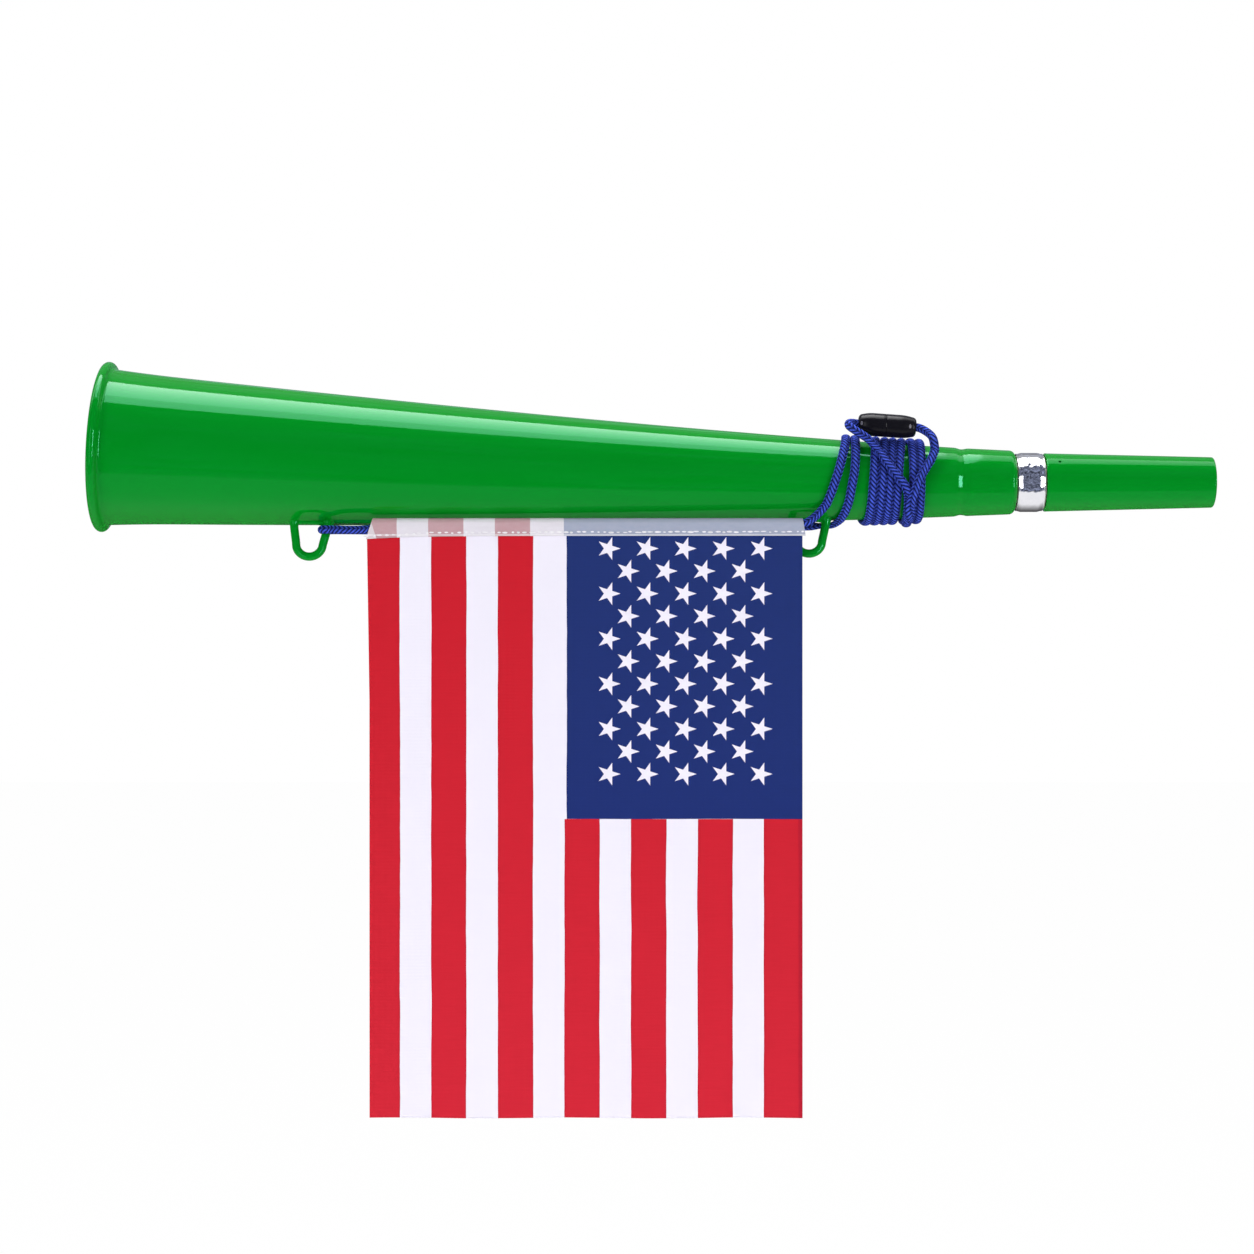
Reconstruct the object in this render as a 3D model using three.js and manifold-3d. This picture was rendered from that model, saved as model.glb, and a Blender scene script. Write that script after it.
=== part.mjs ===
// A stadium horn with a push-in reed mouthpiece, a wound neck lanyard and a hand flag on a sleeve.
// Millimetres, +Z up, +X from the bell to the mouthpiece, -Y to the viewer.
// The origin is on the neck's axis, in the middle of the collar that the hand closes round.
import * as THREE from "three";
import { mergeVertices } from "three/addons/utils/BufferGeometryUtils.js";
import Module from "manifold-3d";

const wasm = await Module();
wasm.setup();

// Clearances
const fitGap = 0.3; // between a spigot and its socket, and between pieces that lie on each other
const beadGap = 0.4; // more room than that round the snap ring of the clasp

// Horn body: a moulded shell, swept along a centre line that rises towards the bell
const collarEnd = 9.45; // where the neck ends, from the origin
const bodyLength = 293.65; // from the collar's end to the middle of the rim, along X
const bellRise = 11.45; // the bell's centre over the neck's axis
const straightNeck = 100.65; // the centre line's control point, from the collar's end
const wall = 1.4;
const neckRadius = 11.15; // outside, where the body's taper starts
const taper = 0.05; // radius gained for each mm towards the bell
const flareLength = 24;
const flareLift = 0.5; // what the flare adds to the radius at the rim
const rimRadius = 27.5; // outside of the rolled rim
const rimBead = 1.6; // radius of the rolled rim's section
const rimBack = 3.4; // how far the roll reaches back along the bell
const collarLength = 14.95;
const collarEndRadius = 10.35;
const collarRootRadius = 10.9;
const shoulder = 1.9; // rounding at the collar's end
const crimpWidth = 4.8;
const crimpDepth = 0.4;

// Reed unit: a hub with a spigot each way, a chrome band round it, and the reed in its bore
const spigotRadius = 7.2;
const spigotLength = 22;
const bandLength = 8.6;
const bandRadius = 9.4;
const bandWall = 0.45;
const bandEdge = 0.2; // how far the band's rolled edges stand out
const mouthSpigotRadius = 6.7;
const mouthSpigotLength = 13;
const reedBoreRadius = 5.4;
const shallotReach = 19; // how far the shallot stands out of the hub's spigot
const shallotRadius = 4.6;
const channelRadius = 2.9;
const channelTip = 3; // solid end of the shallot
const reedFlat = 0.5; // height of the shallot's flat over the axis
const reedWidth = 7.4;
const reedThick = 0.3;
const reedCurl = 1; // how far the reed's tip curls off the flat
const reedClamp = 8; // length of the wedge that holds the reed's root

// Mouthpiece
const mouthLength = 54.55;
const mouthBaseRadius = 9.42;
const mouthTipRadius = 8.15;
const mouthBore = 6.5;
const mouthEdge = 0.5;

// Strap lugs, moulded with the body
const lugBar = 1.35;
const lugReach = 11.5; // from the body's surface to the middle of the bar's lowest point
const lugRootHalf = 5.5;
const lugBendRadius = 4.3;
const lugArch = 0.9; // radius of the bead between the lug's legs, along the body
const lugSink = 0.7; // how deep the bars run into the wall
const lugTurn = 15; // degrees from straight down, towards the viewer
const bellLugX = -216.1;
const neckLugX = -56.8;

// Lanyard: one round braided cord, wound as a pair of strands
const cordRadius = 1.2;
const strandGap = 0.5; // between neighbouring strands
const strandPitch = 2 * cordRadius + strandGap;
const firstTurnX = -38.6; // where the first strand passes under the neck
const loopSteps = 24;
const windingSides = 6;
const cordSides = 8;

// Breakaway clasp
const claspX = -32.9;
const claspY = -7.6;
const claspZ = 17.9;
const claspTilt = 4; // degrees, mouthpiece end down
const claspRadius = 3.7;
const claspEndRadius = 3.2;
const claspRound = 1.3;
const socketLength = 8.7;
const plugLength = 9.5;
const claspSeam = 0.3;
const pinRadius = 1.7;
const pinLength = 6;
const pinBead = 0.2;
const cordEntry = 1.5; // how deep a cord's end sits in the clasp
const windowWidth = 0.8;
const windowHeight = 1.5;
const windowInset = 1.6; // from the clasp's end to the window's middle
const windowDepth = 0.6;

// Flag: a cloth panel under a sleeve that the front strand runs through
const flagLeft = -198;
const flagWidth = 138.3;
const flagDrop = 184.6;
const clothWall = 0.4;
const flagY = -11.2; // the strand's place in the sleeve
const flagZ = -13.55;
const hemDepth = 5.05; // from the strand's middle to the hem's lower edge
const sleeveSlack = 1.1; // how much deeper the sleeve is than the strand
const stitchDepth = 3.6; // from the strand's middle to the row of stitches
const leftSlant = 2.2; // how far the hem's corners stand out past its fold
const rightSlant = 1;
const panelThick = 0.5;
const foldDepth = 0.8;
const foldCount = 2.5;

const radians = THREE.MathUtils.degToRad;
const vector = (x, y, z) => new THREE.Vector3(x, y, z);

// A closed outline of [along, radius] points turned round the X axis: up the outside, down the bore.
function turned(outline, segments = 48) {
  const points = outline.map(([along, radius]) => new THREE.Vector2(radius, along));
  return new THREE.LatheGeometry([...points, points[0]], segments).rotateZ(-Math.PI / 2);
}

// A closed tube round a line of points, with one ring of corners square to the line at each point.
function tube(points, radius, sides) {
  const positions = [];
  const index = [];
  const across = vector(0.31, 0.87, 0.38);
  points.forEach((point, i) => {
    const along = vector(0, 0, 0);
    if (i > 0) along.add(point.clone().sub(points[i - 1]).normalize());
    if (i < points.length - 1) along.add(points[i + 1].clone().sub(point).normalize());
    along.normalize();
    across.addScaledVector(along, -across.dot(along)).normalize();
    const side = along.clone().cross(across);
    for (let j = 0; j < sides; j++) {
      const turn = (j / sides) * 2 * Math.PI;
      const corner = point.clone().addScaledVector(across, radius * Math.cos(turn));
      positions.push(...corner.addScaledVector(side, radius * Math.sin(turn)).toArray());
    }
  });
  for (let i = 0; i < points.length - 1; i++) {
    for (let j = 0; j < sides; j++) {
      const a = i * sides + j;
      const b = i * sides + ((j + 1) % sides);
      index.push(a, b, b + sides, a, b + sides, a + sides);
    }
  }
  const last = (points.length - 1) * sides;
  for (let j = 1; j < sides - 1; j++) {
    index.push(0, j + 1, j, last, last + j, last + j + 1);
  }
  const geometry = new THREE.BufferGeometry();
  geometry.setAttribute("position", new THREE.Float32BufferAttribute(positions, 3));
  geometry.setIndex(index);
  return geometry;
}

// An outline in the Y-Z plane, drawn out along X.
function drawnOut(shape, length, curveSegments = 6) {
  const geometry = new THREE.ExtrudeGeometry(shape, { depth: length, bevelEnabled: false, curveSegments });
  const basis = new THREE.Matrix4().makeBasis(vector(0, 1, 0), vector(0, 0, 1), vector(1, 0, 0));
  return geometry.applyMatrix4(basis);
}

function solid(geometry) {
  const bare = new THREE.BufferGeometry();
  bare.setAttribute("position", geometry.getAttribute("position"));
  bare.setIndex(geometry.index);
  const merged = mergeVertices(bare, 1e-4);
  const vertProperties = merged.getAttribute("position").array;
  const triVerts = new Uint32Array(merged.index.array);
  return new wasm.Manifold(new wasm.Mesh({ numProp: 3, vertProperties, triVerts }));
}

function geometryOf(body) {
  const { vertProperties, triVerts } = body.getMesh();
  const geometry = new THREE.BufferGeometry();
  geometry.setAttribute("position", new THREE.BufferAttribute(vertProperties, 3));
  geometry.setIndex(new THREE.BufferAttribute(triVerts, 1));
  geometry.computeVertexNormals();
  return geometry;
}

// Materials
const finish = (color, roughness, metalness = 0) =>
  new THREE.MeshStandardMaterial({ color, roughness, metalness });
const greenPlastic = finish(0x03901f, 0.18);
const chrome = finish(0xd8d8de, 0.12, 1);
const whitePlastic = finish(0xe9e6dc, 0.45);
const reedMetal = finish(0xb08d3c, 0.35, 1);
const blueCord = finish(0x2d33a8, 0.85);
const blackPlastic = finish(0x111114, 0.25);
const redCloth = finish(0xc92034, 0.9);
const hemCloth = finish(0xc9b2bc, 0.9);

function mesh(name, geometry, material) {
  const piece = new THREE.Mesh(geometry, material);
  piece.name = name;
  return piece;
}

// The body's centre line. A station is the distance along it from the collar's end.
const bellX = collarEnd - bodyLength;
const centreLine = new THREE.QuadraticBezierCurve3(
  vector(collarEnd, 0, 0),
  vector(collarEnd - straightNeck, 0, 0),
  vector(bellX, 0, bellRise),
);
const lineLength = centreLine.getLength();

function frameAt(station) {
  const share = THREE.MathUtils.clamp(station / lineLength, 0, 1);
  const along = centreLine.getTangentAt(share).negate();
  const centre = centreLine.getPointAt(share).addScaledVector(along, share * lineLength - station);
  return { centre, along, up: vector(-along.z, 0, along.x) };
}

// The line falls steadily towards the neck, so the station of a place is found by halving.
function stationOf(x) {
  let near = -20;
  let far = lineLength + 20;
  while (far - near > 1e-4) {
    const middle = (near + far) / 2;
    if (frameAt(middle).centre.x > x) near = middle;
    else far = middle;
  }
  return near;
}

const taperStart = collarLength + crimpWidth;
const socketDepth = spigotLength + 2;

function bodyRadius(station) {
  if (station <= collarLength) {
    const share = (station - shoulder) / (collarLength - shoulder);
    return THREE.MathUtils.lerp(collarEndRadius, collarRootRadius, Math.max(share, 0));
  }
  if (station < taperStart) {
    const share = (station - collarLength) / crimpWidth;
    const dip = crimpDepth * Math.sin(Math.PI * share) ** 2;
    return THREE.MathUtils.lerp(collarRootRadius, neckRadius, share) - dip;
  }
  const flare = Math.max(station - (lineLength - flareLength), 0) / flareLength;
  return neckRadius + taper * (station - taperStart) + flareLift * flare ** 2;
}

function hornShell() {
  const outline = [];
  const beadCentre = rimRadius - rimBead;
  for (let i = 0; i <= 10; i++) {
    const angle = radians(270 - i * 25);
    outline.push([-lineLength + rimBead * Math.cos(angle), beadCentre + rimBead * Math.sin(angle)]);
  }
  const sections = 16;
  for (let i = 0; i <= sections; i++) {
    const share = (i / sections) ** 0.8;
    const station = THREE.MathUtils.lerp(lineLength - rimBack, taperStart, share);
    outline.push([-station, bodyRadius(station)]);
  }
  for (const share of [0.75, 0.5, 0.25, 0]) {
    const station = collarLength + share * crimpWidth;
    outline.push([-station, bodyRadius(station)]);
  }
  for (let i = 0; i <= 4; i++) {
    const angle = radians(90 - i * 22.5);
    const radius = collarEndRadius - shoulder + shoulder * Math.sin(angle);
    outline.push([-shoulder + shoulder * Math.cos(angle), radius]);
  }
  const socketRadius = spigotRadius + fitGap;
  const throat = socketDepth + 4;
  outline.push([0, socketRadius], [-socketDepth, socketRadius]);
  outline.push([-throat, bodyRadius(throat) - wall]);
  for (let i = 1; i < sections; i++) {
    const station = THREE.MathUtils.lerp(throat, lineLength - rimBack, (i / sections) ** 1.2);
    outline.push([-station, bodyRadius(station) - wall]);
  }
  outline.push([-lineLength + rimBack, bodyRadius(lineLength - rimBack) - wall]);
  const geometry = turned(outline, 56);
  const place = geometry.getAttribute("position");
  for (let i = 0; i < place.count; i++) {
    const { centre, up } = frameAt(-place.getX(i));
    const point = centre.addScaledVector(up, place.getZ(i));
    place.setXYZ(i, point.x, place.getY(i), point.z);
  }
  return solid(geometry);
}

// A lug's own plane holds the body's axis: x along the body, y out from its surface.
function lugPoint(lugX, x, out) {
  const station = stationOf(lugX);
  const { centre, along, up } = frameAt(station);
  const outward = up.multiplyScalar(-Math.cos(radians(lugTurn))).add(vector(0, -Math.sin(radians(lugTurn)), 0));
  return centre.addScaledVector(along, x).addScaledVector(outward, bodyRadius(station) + out);
}

function lugBars(lugX) {
  const bendTop = lugReach - lugBendRadius;
  const hoop = [lugPoint(lugX, -lugRootHalf, -lugSink)];
  hoop.push(lugPoint(lugX, -lugRootHalf + 0.1, lugBar));
  for (let i = 0; i <= 10; i++) {
    const angle = radians(i * 18);
    const x = -lugBendRadius * Math.cos(angle);
    hoop.push(lugPoint(lugX, x, bendTop + lugBendRadius * Math.sin(angle)));
  }
  hoop.push(lugPoint(lugX, lugRootHalf - 0.1, lugBar));
  hoop.push(lugPoint(lugX, lugRootHalf, -lugSink));
  const arch = [-1, -0.6, 0, 0.6, 1].map((share) =>
    lugPoint(lugX, share * lugRootHalf, -0.2 * lugArch + 0.6 * lugArch * share ** 2),
  );
  return solid(tube(hoop, lugBar, 10)).add(solid(tube(arch, lugArch, 8)));
}

function hornBody() {
  return hornShell().add(lugBars(bellLugX)).add(lugBars(neckLugX));
}

// Reed unit, from the spigot in the neck to the tip of the shallot
const spigotStart = collarEnd - spigotLength;
const hubStart = collarEnd + fitGap;
const hubEnd = hubStart + bandLength + fitGap;
const mouthStart = hubEnd + fitGap;
const mouthSpigotEnd = mouthStart + mouthSpigotLength;
const hubRadius = bandRadius - bandWall - fitGap;

function reedHousing() {
  const lead = 0.8;
  return turned([
    [spigotStart, reedBoreRadius + 0.4],
    [spigotStart, spigotRadius - lead],
    [spigotStart + lead, spigotRadius],
    [hubStart, spigotRadius],
    [hubStart, hubRadius],
    [hubEnd, hubRadius],
    [hubEnd, mouthSpigotRadius],
    [mouthSpigotEnd - lead, mouthSpigotRadius],
    [mouthSpigotEnd, mouthSpigotRadius - lead / 2],
    [mouthSpigotEnd, reedBoreRadius],
    [spigotStart + 2 * lead, reedBoreRadius],
  ]);
}

function chromeBand() {
  const edge = 4 * bandEdge;
  const outline = [[hubStart, bandRadius - bandWall]];
  const roll = (at, way) => {
    outline.push([at, bandRadius - bandWall / 2], [at + way * edge * 0.25, bandRadius + bandEdge * 0.8]);
    outline.push([at + way * edge * 0.7, bandRadius + bandEdge], [at + way * edge * 1.3, bandRadius]);
  };
  roll(hubStart, 1);
  const front = outline.length;
  roll(hubStart + bandLength, -1);
  outline.push(...outline.splice(front).reverse());
  outline.push([hubStart + bandLength, bandRadius - bandWall]);
  return turned(outline);
}

const shallotBase = hubEnd - 2;
const shallotTip = mouthSpigotEnd + shallotReach;
const reedHinge = shallotBase + 2 + reedClamp / 2;
const plugEnd = reedHinge + reedClamp / 2 + 1.5;

// The part of a round bar under the reed's flat, from one place along X to another.
function barUnderFlat(radius, from, to) {
  const edge = Math.asin(reedFlat / radius);
  const shape = new THREE.Shape().absarc(0, 0, radius, -Math.PI - edge, edge, false);
  return solid(drawnOut(shape, to - from, 16).translate(from, 0, 0));
}

function reedShallot() {
  const body = barUnderFlat(reedBoreRadius - fitGap, shallotBase, plugEnd).add(
    barUnderFlat(shallotRadius, plugEnd - 1, shallotTip),
  );
  const half = new THREE.Shape().absarc(0, 0, channelRadius, -Math.PI, 0, false);
  half.lineTo(channelRadius, 2 * reedFlat);
  half.lineTo(-channelRadius, 2 * reedFlat);
  const length = shallotTip - channelTip - shallotBase;
  const channel = solid(drawnOut(half, length + 1, 12).translate(shallotBase - 1, 0, 0));
  return body.subtract(channel);
}

function reedTongue() {
  const start = shallotBase + 2;
  const end = shallotTip - 1;
  const free = reedHinge + reedClamp / 2;
  const bottom = [];
  for (let i = 0; i <= 8; i++) {
    const x = THREE.MathUtils.lerp(free, end, i / 8);
    bottom.push([x, reedFlat + fitGap + reedCurl * (i / 8) ** 2]);
  }
  const shape = new THREE.Shape();
  shape.moveTo(start, reedFlat + fitGap);
  for (const [x, z] of bottom) shape.lineTo(x, z);
  for (const [x, z] of bottom.reverse()) shape.lineTo(x, z + reedThick);
  shape.lineTo(start, reedFlat + fitGap + reedThick);
  const strip = new THREE.ExtrudeGeometry(shape, { depth: reedWidth, bevelEnabled: false });
  return strip.rotateX(Math.PI / 2).translate(0, reedWidth / 2, 0);
}

function reedWedge() {
  const radius = reedBoreRadius - fitGap;
  const floor = reedFlat + 2 * fitGap + reedThick;
  const edge = Math.asin(floor / radius);
  const shape = new THREE.Shape().absarc(0, 0, radius, edge, Math.PI - edge, false);
  return drawnOut(shape, reedClamp, 14).translate(reedHinge - reedClamp / 2, 0, 0);
}

function mouthpieceTube() {
  const end = mouthStart + mouthLength;
  const socketRadius = mouthSpigotRadius + fitGap;
  const socketEnd = mouthSpigotEnd + fitGap;
  const outline = [
    [mouthStart, mouthBaseRadius - 0.3],
    [mouthStart + 0.3, mouthBaseRadius],
  ];
  for (let i = 0; i <= 3; i++) {
    const angle = radians(90 - i * 30);
    const radius = mouthTipRadius - mouthEdge + mouthEdge * Math.sin(angle);
    outline.push([end - mouthEdge + mouthEdge * Math.cos(angle), radius]);
  }
  outline.push([end, mouthBore + 0.4], [end - 0.4, mouthBore], [socketEnd, mouthBore]);
  outline.push([socketEnd, socketRadius], [mouthStart, socketRadius]);
  return turned(outline);
}

// Lanyard. A strand on the neck goes through stops of [turns, slots, layer]. It is in front of the
// neck at whole turns, over it at a quarter, behind it at a half and under it at three quarters.
// A slot is one strand's pitch along the neck, and layer 1 lies on layer 0.
const leftStops = [
  [-0.1, -4.65, 0],
  [-0.03, -3.9, 0],
  [0.05, -3.15, 0],
  [0.15, -2.5, 0],
  [0.25, -2.2, 0],
  [0.75, 0, 0],
  [1, 0.5, 0],
  [1.25, 1.08, 0],
  [1.75, 2, 0],
  [2, 2.46, 0],
  [2.25, 3.04, 0],
  [2.4, 3.38, 0],
  [2.75, 5.25, 0],
  [3, 5.15, 0],
  [3.2, 4.97, 0],
  [3.25, 4.96, 0.1],
  [3.33, 5, 0.65],
  [3.4, 4.97, 1.1],
  [3.6, 4.3, 1],
  [3.68, 4.1, 0.55],
  [3.75, 4.12, 0.05],
  [3.8, 4.15, 0.05],
  [3.93, 4.24, 0.15],
  [3.97, 4.05, 1],
  [4.01, 2.8, 1.05],
  [4.05, 1.75, 1],
  [4.1, 0.5, 1],
];
const rightStops = [
  [-0.19, -2.95, 0],
  [-0.1, -2.25, 0],
  [-0.03, -1.9, 0],
  [0.04, -1.55, 0],
  [0.12, -1.38, 0],
  [0.25, -1.2, 0],
  [0.75, 1, 0],
  [1, 1.5, 0],
  [1.25, 2.1, 0],
  [1.75, 2.96, 0],
  [2, 3.42, 0],
  [2.25, 3.99, 0],
  [2.4, 4.34, 0],
  [2.75, 6.22, 0],
  [3, 6.1, 0],
  [3.2, 5.92, 0],
  [3.25, 5.9, 0.1],
  [3.4, 6.05, 0.8],
  [3.6, 5.45, 1.05],
  [3.68, 4.95, 1.1],
  [3.75, 4.6, 0.98],
  [3.83, 4.45, 1],
  [3.91, 4.55, 1.1],
  [3.96, 5, 1.25],
  [4, 5.5, 1.15],
  [4.035, 6.1, 1],
  [4.075, 6.85, 1],
  [4.115, 7.3, 1],
];

function roundNeck(turns, slots, layer) {
  const x = firstTurnX + strandPitch * slots;
  const station = stationOf(x);
  const reach = bodyRadius(station) + fitGap + cordRadius + layer * strandPitch;
  const angle = turns * 2 * Math.PI;
  return vector(x, -reach * Math.cos(angle), frameAt(station).centre.z + reach * Math.sin(angle));
}

// The place of a strand between its stops, on a smooth curve through all of them.
function placeAt(stops, turns) {
  const next = Math.max(stops.findIndex((stop, i) => i > 0 && stop[0] >= turns - 1e-9), 1);
  const [from, to] = [stops[next - 1], stops[next]];
  const span = to[0] - from[0];
  const share = (turns - from[0]) / span;
  const slope = (i, k) => {
    const before = stops[Math.max(i - 1, 0)];
    const after = stops[Math.min(i + 1, stops.length - 1)];
    return ((after[k] - before[k]) / (after[0] - before[0])) * span;
  };
  const at = (k) => {
    const rise = to[k] - from[k];
    const [start, end] = [slope(next - 1, k), slope(next, k)];
    return from[k] + share * (start + share * (3 * rise - 2 * start - end + share * (start + end - 2 * rise)));
  };
  return roundNeck(turns, at(1), at(2));
}

// Past these turns, near the neck's underside, each winding goes on as the lead to the clasp.
const leftLeadTurn = 3.93;
const rightLeadTurn = 3.83;

function winding(stops, first, last) {
  const steps = Math.round((last - first) * loopSteps);
  return Array.from({ length: steps + 1 }, (_, i) => placeAt(stops, first + ((last - first) * i) / steps));
}

const throughPoints = (points) => points.map((point) => vector(...point));

// The strand from the neck's front to the clasp's socket half.
const leftLead = throughPoints([
  [-38.6, -12.9, 13],
  [-41.3, -12.9, 14.9],
  [-43.5, -12.3, 16.4],
  [-44.7, -10.9, 17.5],
  [-44.75, -9.3, 18.4],
  [-43.75, -8.05, 18.7],
]);
// From the left winding down in front of the neck, through the sleeve, round the bell-side lug's
// leg, and back behind both lugs to the right winding.
const strapLoop = throughPoints([
  [-54.6, -10.9, -10.5],
  [-56.8, -11, -12.4],
  [-59, flagY, flagZ],
  [-68, flagY, flagZ],
  [-90, flagY, flagZ],
  [-115, flagY, flagZ],
  [-140, flagY, flagZ],
  [-165, flagY, flagZ],
  [-185, flagY, flagZ],
  [-192, flagY, -13.9],
  [-198, flagY, -14.3],
  [-205, flagY, -14.6],
  [-208.3, -10.5, -15.1],
  [-210.5, -9.6, -15.4],
  [-212.1, -9.2, -15.5],
  [-213.6, -8.75, -15.5],
  [-214.7, -7.65, -15.5],
  [-215.15, -6.1, -15.5],
  [-214.7, -4.55, -15.5],
  [-213.6, -3.4, -15.6],
  [-212.1, -3, -15.7],
  [-208, -3, -15.8],
  [-185, -3, -15.7],
  [-160, -2.7, -15.6],
  [-135, -2.4, -15.4],
  [-110, -2, -15.1],
  [-85, -1.5, -14.6],
  [-66, -0.9, -14.4],
  [-57, -0.7, -14.2],
  [-52, -0.6, -14],
  [-49.6, -1.3, -13.9],
]);
// The strand from the neck's front to the clasp's plug half.
const rightLead = throughPoints([
  [-17.9, -10.3, 13.5],
  [-19.2, -8.6, 15.4],
]);

// The clasp's axis, and a place on it by its distance from the seam.
const claspAxis = vector(Math.cos(radians(claspTilt)), 0, -Math.sin(radians(claspTilt)));
const claspPoint = (along) => vector(claspX, claspY, claspZ).addScaledVector(claspAxis, along);
const cordInPlug = claspSeam + plugLength - cordEntry + fitGap;
const cordInSocket = -socketLength + cordEntry - fitGap;
const plugSide = [claspPoint(plugLength + 1.6), claspPoint(cordInPlug)];
const socketSide = [claspPoint(-socketLength - 0.6), claspPoint(cordInSocket)];

// The line's least distance to itself, less its thickness, on points half a millimetre apart.
function leastGap(points) {
  const line = new THREE.CurvePath();
  for (let i = 1; i < points.length; i++) line.add(new THREE.LineCurve3(points[i - 1], points[i]));
  const samples = line.getSpacedPoints(Math.round(2 * line.getLength()));
  const apart = Math.round(2 * Math.PI * cordRadius * 2);
  let least = Infinity;
  samples.forEach((point, i) => {
    for (let j = i + apart; j < samples.length; j++) {
      least = Math.min(least, point.distanceTo(samples[j]));
    }
  });
  return least - 2 * cordRadius;
}

// Two neighbouring stretches of the cord meet face to face halfway between their nearest points.
function shortened(points, before, after) {
  const ends = [];
  if (before) {
    const way = points[0].clone().sub(before).normalize();
    ends.push(before.clone().lerp(points[0], 0.5).addScaledVector(way, fitGap / 2));
  }
  ends.push(...points);
  if (after) {
    const way = points.at(-1).clone().sub(after).normalize();
    ends.push(after.clone().lerp(points.at(-1), 0.5).addScaledVector(way, fitGap / 2));
  }
  return ends;
}

function lanyard() {
  const left = winding(leftStops, leftStops[0][0], leftLeadTurn);
  const right = winding(rightStops, rightStops[0][0], rightLeadTurn);
  const leftRise = winding(leftStops, leftLeadTurn, leftStops.at(-1)[0]).slice(1);
  const rightRise = winding(rightStops, rightLeadTurn, rightStops.at(-1)[0]).slice(1);
  const stretches = {
    lanyard_lead_left: [[...leftRise, ...leftLead, ...socketSide], left.at(-1), null, cordSides],
    lanyard_winding_left: [left, strapLoop[0], leftRise[0], windingSides],
    lanyard_loop: [strapLoop, left[0], right[0], cordSides],
    lanyard_winding_right: [right, strapLoop.at(-1), rightRise[0], windingSides],
    lanyard_lead_right: [[...rightRise, ...rightLead, ...plugSide], right.at(-1), null, cordSides],
  };
  const group = new THREE.Group();
  for (const [name, [points, before, after, sides]] of Object.entries(stretches)) {
    const line = shortened(points, before, after);
    if (sides === windingSides) console.log(name, "least gap to itself", leastGap(line).toFixed(2), "mm");
    group.add(mesh(name, tube(line, cordRadius, sides), blueCord));
  }
  return group;
}

// A clasp half's outside, from its seam face to its rounded end.
function barrel(length) {
  const outline = [[0, claspRadius - 0.15], [0.15, claspRadius], [length * 0.45, claspRadius]];
  for (let i = 0; i <= 4; i++) {
    const angle = radians(90 - i * 22.5);
    const radius = claspEndRadius - claspRound + claspRound * Math.sin(angle);
    outline.push([length - claspRound + claspRound * Math.cos(angle), radius]);
  }
  return outline;
}

function windowCut(length) {
  const cut = new THREE.BoxGeometry(windowWidth, 2 * windowDepth, windowHeight);
  return solid(cut.translate(length - windowInset, -claspEndRadius, 0));
}

const cordHole = cordRadius + fitGap;

function claspSocket() {
  const bore = pinRadius + pinBead + beadGap;
  const outline = barrel(socketLength);
  outline.push([socketLength, cordHole], [socketLength - cordEntry, cordHole], [socketLength - cordEntry, 0]);
  outline.push([pinLength + fitGap, 0], [pinLength + fitGap, bore], [0, bore]);
  return geometryOf(solid(turned(outline, 28)).subtract(windowCut(socketLength)));
}

function claspPlug() {
  const outline = [[-pinLength, 0], [-pinLength, pinRadius - 0.2], [-pinLength + 0.3, pinRadius]];
  outline.push([-pinLength + 0.6, pinRadius + pinBead], [-pinLength + 1.2, pinRadius + pinBead]);
  outline.push([-pinLength + 1.6, pinRadius], [0, pinRadius], ...barrel(plugLength));
  outline.push([plugLength, cordHole], [plugLength - cordEntry, cordHole], [plugLength - cordEntry, 0]);
  return geometryOf(solid(turned(outline, 28)).subtract(windowCut(plugLength)));
}

function clasp() {
  const group = new THREE.Group();
  group.position.set(claspX, claspY, claspZ);
  group.rotation.y = radians(claspTilt);
  const socket = mesh("clasp_socket", claspSocket(), blackPlastic);
  socket.rotation.z = Math.PI;
  const plug = mesh("clasp_plug", claspPlug(), blackPlastic);
  plug.position.x = claspSeam;
  group.add(socket, plug);
  return group;
}

// The sleeve's section: a loop of cloth round the strand, closed by stitches over its lower edge.
function sleeveOutline(reach, bottom, half) {
  const shape = new THREE.Shape();
  shape.moveTo(half, -bottom);
  shape.lineTo(half, -stitchDepth);
  shape.lineTo(reach, -sleeveSlack);
  shape.absarc(0, 0, reach, 0, Math.PI, false);
  shape.lineTo(-reach, -sleeveSlack);
  shape.lineTo(-half, -stitchDepth);
  shape.lineTo(-half, -bottom);
  return shape;
}

function flagSleeve() {
  const inside = cordRadius + fitGap;
  const shape = sleeveOutline(inside + clothWall, hemDepth, clothWall);
  shape.holes.push(sleeveOutline(inside, stitchDepth - 0.05, 0.05));
  const geometry = drawnOut(shape, flagWidth, 12);
  const place = geometry.getAttribute("position");
  const top = inside + clothWall;
  for (let i = 0; i < place.count; i++) {
    const drop = (top - place.getZ(i)) / (top + hemDepth);
    const slant = place.getX(i) > flagWidth / 2 ? rightSlant : -leftSlant;
    place.setX(i, place.getX(i) + slant * drop);
  }
  return geometry.translate(flagLeft, flagY, flagZ);
}

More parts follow.
